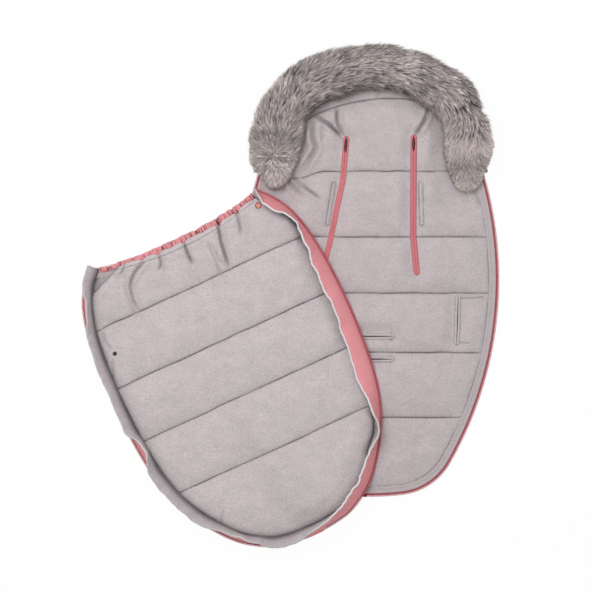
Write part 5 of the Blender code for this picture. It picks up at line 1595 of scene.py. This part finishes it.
# Where the flap's free edge lies: share of the cover's length, inset from the outline in millimetres
FLAP_RIGHT = ((0.0, 13.0), (0.0072, 19.5), (0.014, 23.5), (0.043, 25.0), (0.086, 24.8), (0.110, 22.6),
              (0.150, 20.8), (0.178, 10.0), (0.202, 5.5), (0.225, 10.0), (0.250, 22.5), (0.284, 25.7),
              (0.325, 34.2), (0.372, 37.0), (0.414, 37.4), (0.461, 36.2), (0.500, 35.4), (0.556, 32.6),
              (0.597, 31.6), (0.639, 33.4), (0.695, 30.4), (0.736, 29.2), (0.784, 23.0), (0.815, 21.5),
              (0.840, 17.5), (0.858, 11.0), (0.877, 12.0), (0.904, 15.5), (0.927, 22.0), (0.946, 26.0),
              (0.977, 21.0), (0.992, 10.5), (1.0, 5.0))
FLAP_LEFT = ((0.0, 11.0), (0.0008, 6.0), (0.0035, 2.6), (0.0090, 1.0), (0.0224, 4.0), (0.040, 10.0),
             (0.055, 13.4), (0.075, 14.4), (0.11, 13.0), (0.135, 7.5), (0.155, 2.6), (0.20, 0.4),
             (0.255, 1.6), (0.32, 0.4), (0.37, 0.8), (0.387, 5.0), (0.408, 12.5), (0.430, 17.5),
             (0.458, 17.0), (0.478, 11.5), (0.495, 5.0), (0.512, 0.6), (0.56, 3.2), (0.62, 4.4),
             (0.70, 3.0), (0.78, 3.4), (0.83, 6.6), (0.86, 10.6), (0.91, 11.0), (0.94, 5.4),
             (0.965, 1.6), (1.0, 1.8))
FLAP_FOOT = 0.0198
FLAP_KNEE_Z = 0.0110
FLAP_LEAN = 0.0235
FLAP_SEWN = np.array((0.0052, 0.0026))
# Painted shade on the flap's fleece from its foot, in the valley by the quilt, to its free edge
FLAP_SHADE = (1.0, 1.0, 1.0, 0.86, 0.62, 0.36, 0.18, 0.12, 0.06, 0.0)
PIN_NODES = ("cover_zip_pin_left", "cover_zip_pin_right")
# Inset and height: the sewn line's shift over the pins, and the coral side's bend where it leans out or in
FLAP_OVER_PINS = np.array((-0.0047, 0.0042))
FLAP_DRAWN_OUT = np.array((0.0065, 0.0150))
FLAP_DRAWN_IN = np.array((0.0120, 0.0190))
CORAL_SHARES = np.linspace(0, 1, 11)
FLAP_BOTTOM = 0.0013
FLAP_BOW = 0.0030
FLAP_MOST = 0.95 * FLAP_LEAN
FLEECE_THICK = 0.0012
CORAL_THICK = 0.0006
EDGE_HALF = (0.0014, 0.0019)


def thickened(line, thick):
    """A closed section: the line, and the line again on its right."""
    line = np.array(line)
    along = ways(line)
    return np.vstack([line, (line + np.column_stack([along[:, 1], -along[:, 0]]) * thick)[::-1]])


def flap_sections(reach, foot, ripple, over_pins, flutter):
    """The flap at one place: its fleece side, coral side and free edge, and how far it leans in."""
    way = np.array((reach, math.sqrt(FLAP_LEAN**2 - reach**2))) / FLAP_LEAN
    side = np.array((way[1], -way[0]))
    fleece = [np.array((foot, FLAP_BOTTOM)), np.array((foot, FLAP_KNEE_Z * 0.5))]
    for t in np.linspace(0, 1, 8):
        bow = FLAP_BOW * math.sin(math.pi * t) * (reach / FLAP_LEAN) + ripple * t
        fleece.append(np.array((foot, FLAP_KNEE_Z)) + way * FLAP_LEAN * t - side * bow)
    tip = fleece[-1]
    lean_in = smooth_step((reach / FLAP_LEAN + 0.6) / 0.9)
    sewn = FLAP_SEWN + FLAP_OVER_PINS * over_pins
    drawn = FLAP_DRAWN_OUT * (1 - lean_in) + FLAP_DRAWN_IN * lean_in
    coral = [(1 - t) ** 2 * sewn + 2 * t * (1 - t) * drawn + t * t * (tip - side * 0.0013)
             + np.array((0, 0.0006 * math.sin(9 * t) * wave)) for t, wave in zip(CORAL_SHARES, flutter)]
    centre = tip + way * 0.0006 - side * 0.0004
    edge = [centre + way * EDGE_HALF[0] * math.cos(turn) + side * EDGE_HALF[1] * math.sin(turn)
            for turn in np.linspace(0, 2 * math.pi, 9)[:-1]]
    return (thickened(fleece, FLEECE_THICK), thickened(coral, CORAL_THICK), edge), lean_in


def build_flap():
    """The standing draft flap: leaning in on the right side and out on the left."""
    path = run(HEM_LAST, HEM_FIRST, len(COVER_LOOP))
    loop, out = COVER_LOOP[path].copy(), COVER_OUT[path].copy()
    out[0], out[-1] = out[3], out[-4]
    share = (loop[:, 1] - COVER_TOE_Y) / COVER_LENGTH
    right = loop[:, 0] > 0
    travel = travelled(loop)

    def wave(size, seed):
        return grain(travel, np.zeros(len(travel)), size, seed)

    inset = np.where(right, by_table(share, FLAP_RIGHT), by_table(share, FLAP_LEFT)) / 1000
    inset += 0.0011 * wave(0.023, 71) + 0.0007 * wave(0.009, 73)
    inset = np.convolve(np.pad(inset, 2, mode="edge"), np.ones(5) / 5, mode="valid")
    foot = FLAP_FOOT - edge_shift(loop) + 0.0010 * wave(0.031, 74)
    reach = np.clip(inset - foot, -FLAP_MOST, FLAP_MOST)
    ripple = 0.0015 * wave(0.017, 72) + 0.0006 * wave(0.007, 75)
    flutter = grain(travel[:, None], CORAL_SHARES * 0.01, 0.02, 76)
    lift = cover_lift(*inset_loop(loop, out, FLAP_FOOT).T)
    pins = np.array([corner for name in PIN_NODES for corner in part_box(name)])[:, :2].mean(axis=0)
    over_pins = smooth_step((0.030 - np.hypot(*(loop - turned_back(*pins)).T)) / 0.012)
    parts, leaning = ([], [], []), []
    for k, place in enumerate(zip(reach, foot, ripple, over_pins, flutter)):
        sections, lean_in = flap_sections(*place)
        leaning.append(lean_in)
        for rings, section in zip(parts, sections):
            rings.append([(*(loop[k] - out[k] * u), lift[k] + z) for u, z in section])
    upright = np.array(leaning)
    # Painted shade on the fleece side: lighter where the flap leans in, and deeper at the right shoulder's
    # pinch, where it leans out beside the puffed quilt
    turn_out = np.where(right, bell(share - 0.203, 0.035), 0.0)
    deep = np.outer(1 - 0.6 * upright, FLAP_SHADE + FLAP_SHADE[::-1]) ** (1 - 0.8 * turn_out)[:, None]
    fleece, coral, edge = (turned(rings) for rings in parts)
    lining = sweep("draft_flap_fleece_side", fleece, FLAP_FLEECE, "cover")
    mark_painted_shade(lining, deep.ravel())
    shell = sweep("draft_flap_coral_side", coral, CORAL, "cover")
    border = sweep("draft_flap_pale_edge", edge, PALE_EDGE, "cover")
    # Painted shade on the pale edge where the flap leans out
    mark_painted_shade(border, np.repeat(0.45 * (1 - upright), edge.shape[1]))
    stand_in(lining, "draft_flap_lining")
    stand_in(shell, "draft_flap_shell")
    stand_in(border, "draft_flap_edge")


def laid(points):
    """Points of the cover's own frame, lifted as the cover lies and turned."""
    points = np.array(points, float)
    points[..., 2] += cover_lift(points[..., 0], points[..., 1])
    return turned(points)


def build_cover_zips():
    """From the toe up to each end of the hem."""
    out = COVER_OUT.copy()
    for corner, near in ((HEM_FIRST, HEM_FIRST - 4), (HEM_LAST, HEM_LAST + 4)):
        out[corner - 2:corner + 3] = out[near]
    count = len(COVER_LOOP)
    for side, path in (("right", run(4, HEM_FIRST, count)), ("left", run(HEM_LAST, count - 4, count))):
        build_zip_half("cover_zip", "cover_zip", side, COVER_LOOP, out, path, path, "cover",
                       COVER_ZIP_Z, laid)


HEM_CORNERS = 20
HEM_STEP = 0.0008
HEM_BEHIND = 0.0146
HEM_TALL = 0.0082
# The large and small gathers: how wide they are and how deep they fold
GATHER_SIZES = (0.0050, 0.0028)
GATHER_FOLDS = (0.0028, 0.0013)


def build_hem():
    """The ruched casing along the cover's top edge, with its fine gathers."""
    line = even(HEM_LINE[5:-5], HEM_STEP)
    side = beside(line)
    travel = (np.arange(len(line)) * HEM_STEP)[:, None]
    lift = cover_lift(*(line - side * 0.018).T)

    def gathers(shift, size, seed):
        return 1 - np.minimum(1, np.abs(grain(travel, shift, size, seed)) * 5.0)

    turns = 2 * math.pi * (np.arange(HEM_CORNERS) + 0.5) / HEM_CORNERS
    slant = turns * 0.0006
    large, small = gathers(slant, GATHER_SIZES[0], 84), gathers(slant * 1.6, GATHER_SIZES[1], 85)
    fold = GATHER_FOLDS[0] * large + GATHER_FOLDS[1] * small
    near = (0.0010 * grain(travel, np.zeros(1), 0.0070, 81)
            + 0.0016 * gathers(np.zeros(1), GATHER_SIZES[0], 84))
    near -= hem_rise(line[:, :1])
    behind = HEM_BEHIND + 0.0036 * smooth_step((-0.115 - line[:, :1]) / 0.025)
    half = (behind - near) / 2
    middle = (HEM_TALL + 0.0012 * grain(travel, np.zeros(1), 0.0085, 83)) / 2
    inset = near + half - (half - 0.4 * fold) * np.cos(turns)
    height = lift[:, None] + np.maximum(0.0004 + middle + (middle - fold) * np.sin(turns), 0.0003)
    rings = np.dstack([line[:, :1] - side[:, :1] * inset, line[:, 1:] - side[:, 1:] * inset, height])
    casing = sweep("hem_casing_ruched", turned(rings), CORAL, "cover")
    # Painted shade in the gathers, darkest in the large ones
    mark_painted_shade(casing, (0.08 + 0.85 * large + 0.50 * small).ravel())
    stand_in(casing, "hem_casing")


# Carried-over nodes

def finish_nodes():
    """Finishes for the nodes whose shape is right as it is."""
    finishes = {ENAMEL: ("zip_box", "zip_stop", "zip_slider", "zip_puller", "cover_zip_pin"),
                COPPER: ("corner_stud",), DARK_METAL: ("side_stud",), ELASTIC: ("hem_elastic",),
                WADDING: ("back_wadding", "cover_wadding"), FUR_SKIN_AND_SHADOW: ("fur_backing",)}
    for material, words in finishes.items():
        for name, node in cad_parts.items():
            if name.startswith(words):
                for slot in node.material_slots:
                    slot.material = material


# Stage

def floor_material():
    """White paper: it shades softly, and shows the camera nearly its own white."""
    material, tree, shader = new_material("floor_white")
    wire(tree, shader, Base_Color=(0.90, 0.90, 0.90), Roughness=0.9, Specular_IOR_Level=0.2)
    white = wire(tree, add_node(tree, "ShaderNodeEmission"), Color=(1.0, 1.0, 1.0), Strength=1.0)
    rays = add_node(tree, "ShaderNodeLightPath").outputs
    seen = math_node(tree, "MAXIMUM", rays["Is Camera Ray"], rays["Is Glossy Ray"])
    seen = math_node(tree, "MAXIMUM", seen, rays["Is Transmission Ray"])
    mixed = add_node(tree, "ShaderNodeMixShader")
    for key, value in (("Fac", math_node(tree, "MULTIPLY", seen, FLOOR_WHITE)), (1, shader.outputs["BSDF"]),
                       (2, white.outputs["Emission"])):
        feed(tree, mixed.inputs[key], value)
    feed(tree, tree.nodes["Material Output"].inputs["Surface"], mixed.outputs["Shader"])
    return material


FLOOR_WHITE = 0.955
FLOOR_SIZE = 8
FLOOR_DROP = 0.0005
WORLD_STRENGTH = 0.50
LIGHT_SIZE = 2.4
LIGHT_POWER = 72.0
LIGHT_PLACE = (-0.9, 1.2, 3.2)
LIGHT_WAY = (0.9 - 0.14, -1.2, -3.2)


def build_stage():
    """A pale floor, a camera straight above and soft light from all round."""
    bpy.ops.mesh.primitive_plane_add(size=FLOOR_SIZE, location=(*photo(*PHOTO_MIDDLE), -FLOOR_DROP))
    floor = bpy.context.object
    floor.name = "floor"
    floor.data.materials.append(floor_material())
    world = bpy.data.worlds.new("studio")
    bpy.context.scene.world = world
    world.use_nodes = True
    wire(world.node_tree, world.node_tree.nodes["Background"], Color=(1.0, 1.0, 1.0), Strength=WORLD_STRENGTH)
    light = bpy.data.lights.new("soft_top", "AREA")
    light.shape = "DISK"
    light.size = LIGHT_SIZE
    light.energy = LIGHT_POWER
    lamp = bpy.data.objects.new("soft_top", light)
    lamp.location = LIGHT_PLACE
    lamp.rotation_euler = Vector(LIGHT_WAY).to_track_quat("-Z", "Y").to_euler()
    bpy.context.collection.objects.link(lamp)
    camera = bpy.data.cameras.new("camera")
    camera.lens = CAMERA_LENS
    camera.sensor_width = CAMERA_SENSOR
    camera.clip_end = 50.0
    view = bpy.data.objects.new("camera", camera)
    view.location = (*photo(*PHOTO_MIDDLE), CAMERA_HEIGHT)
    bpy.context.collection.objects.link(view)
    bpy.context.scene.camera = view
    bpy.context.scene.view_settings.view_transform = "Standard"


bpy.ops.object.select_all(action="DESELECT")
finish_nodes()
build_pad_lining()
hood_path = build_hood_facing()
build_edge_strip(hood_path)
build_slots(build_pad_shell())
TOOTH = coil_tooth()
build_pad_zips()
build_fur_skin()
build_hair()
build_cover_lining()
build_cover_shell()
build_flap()
build_cover_zips()
build_hem()
bpy.data.objects.remove(TOOTH)
build_stage()
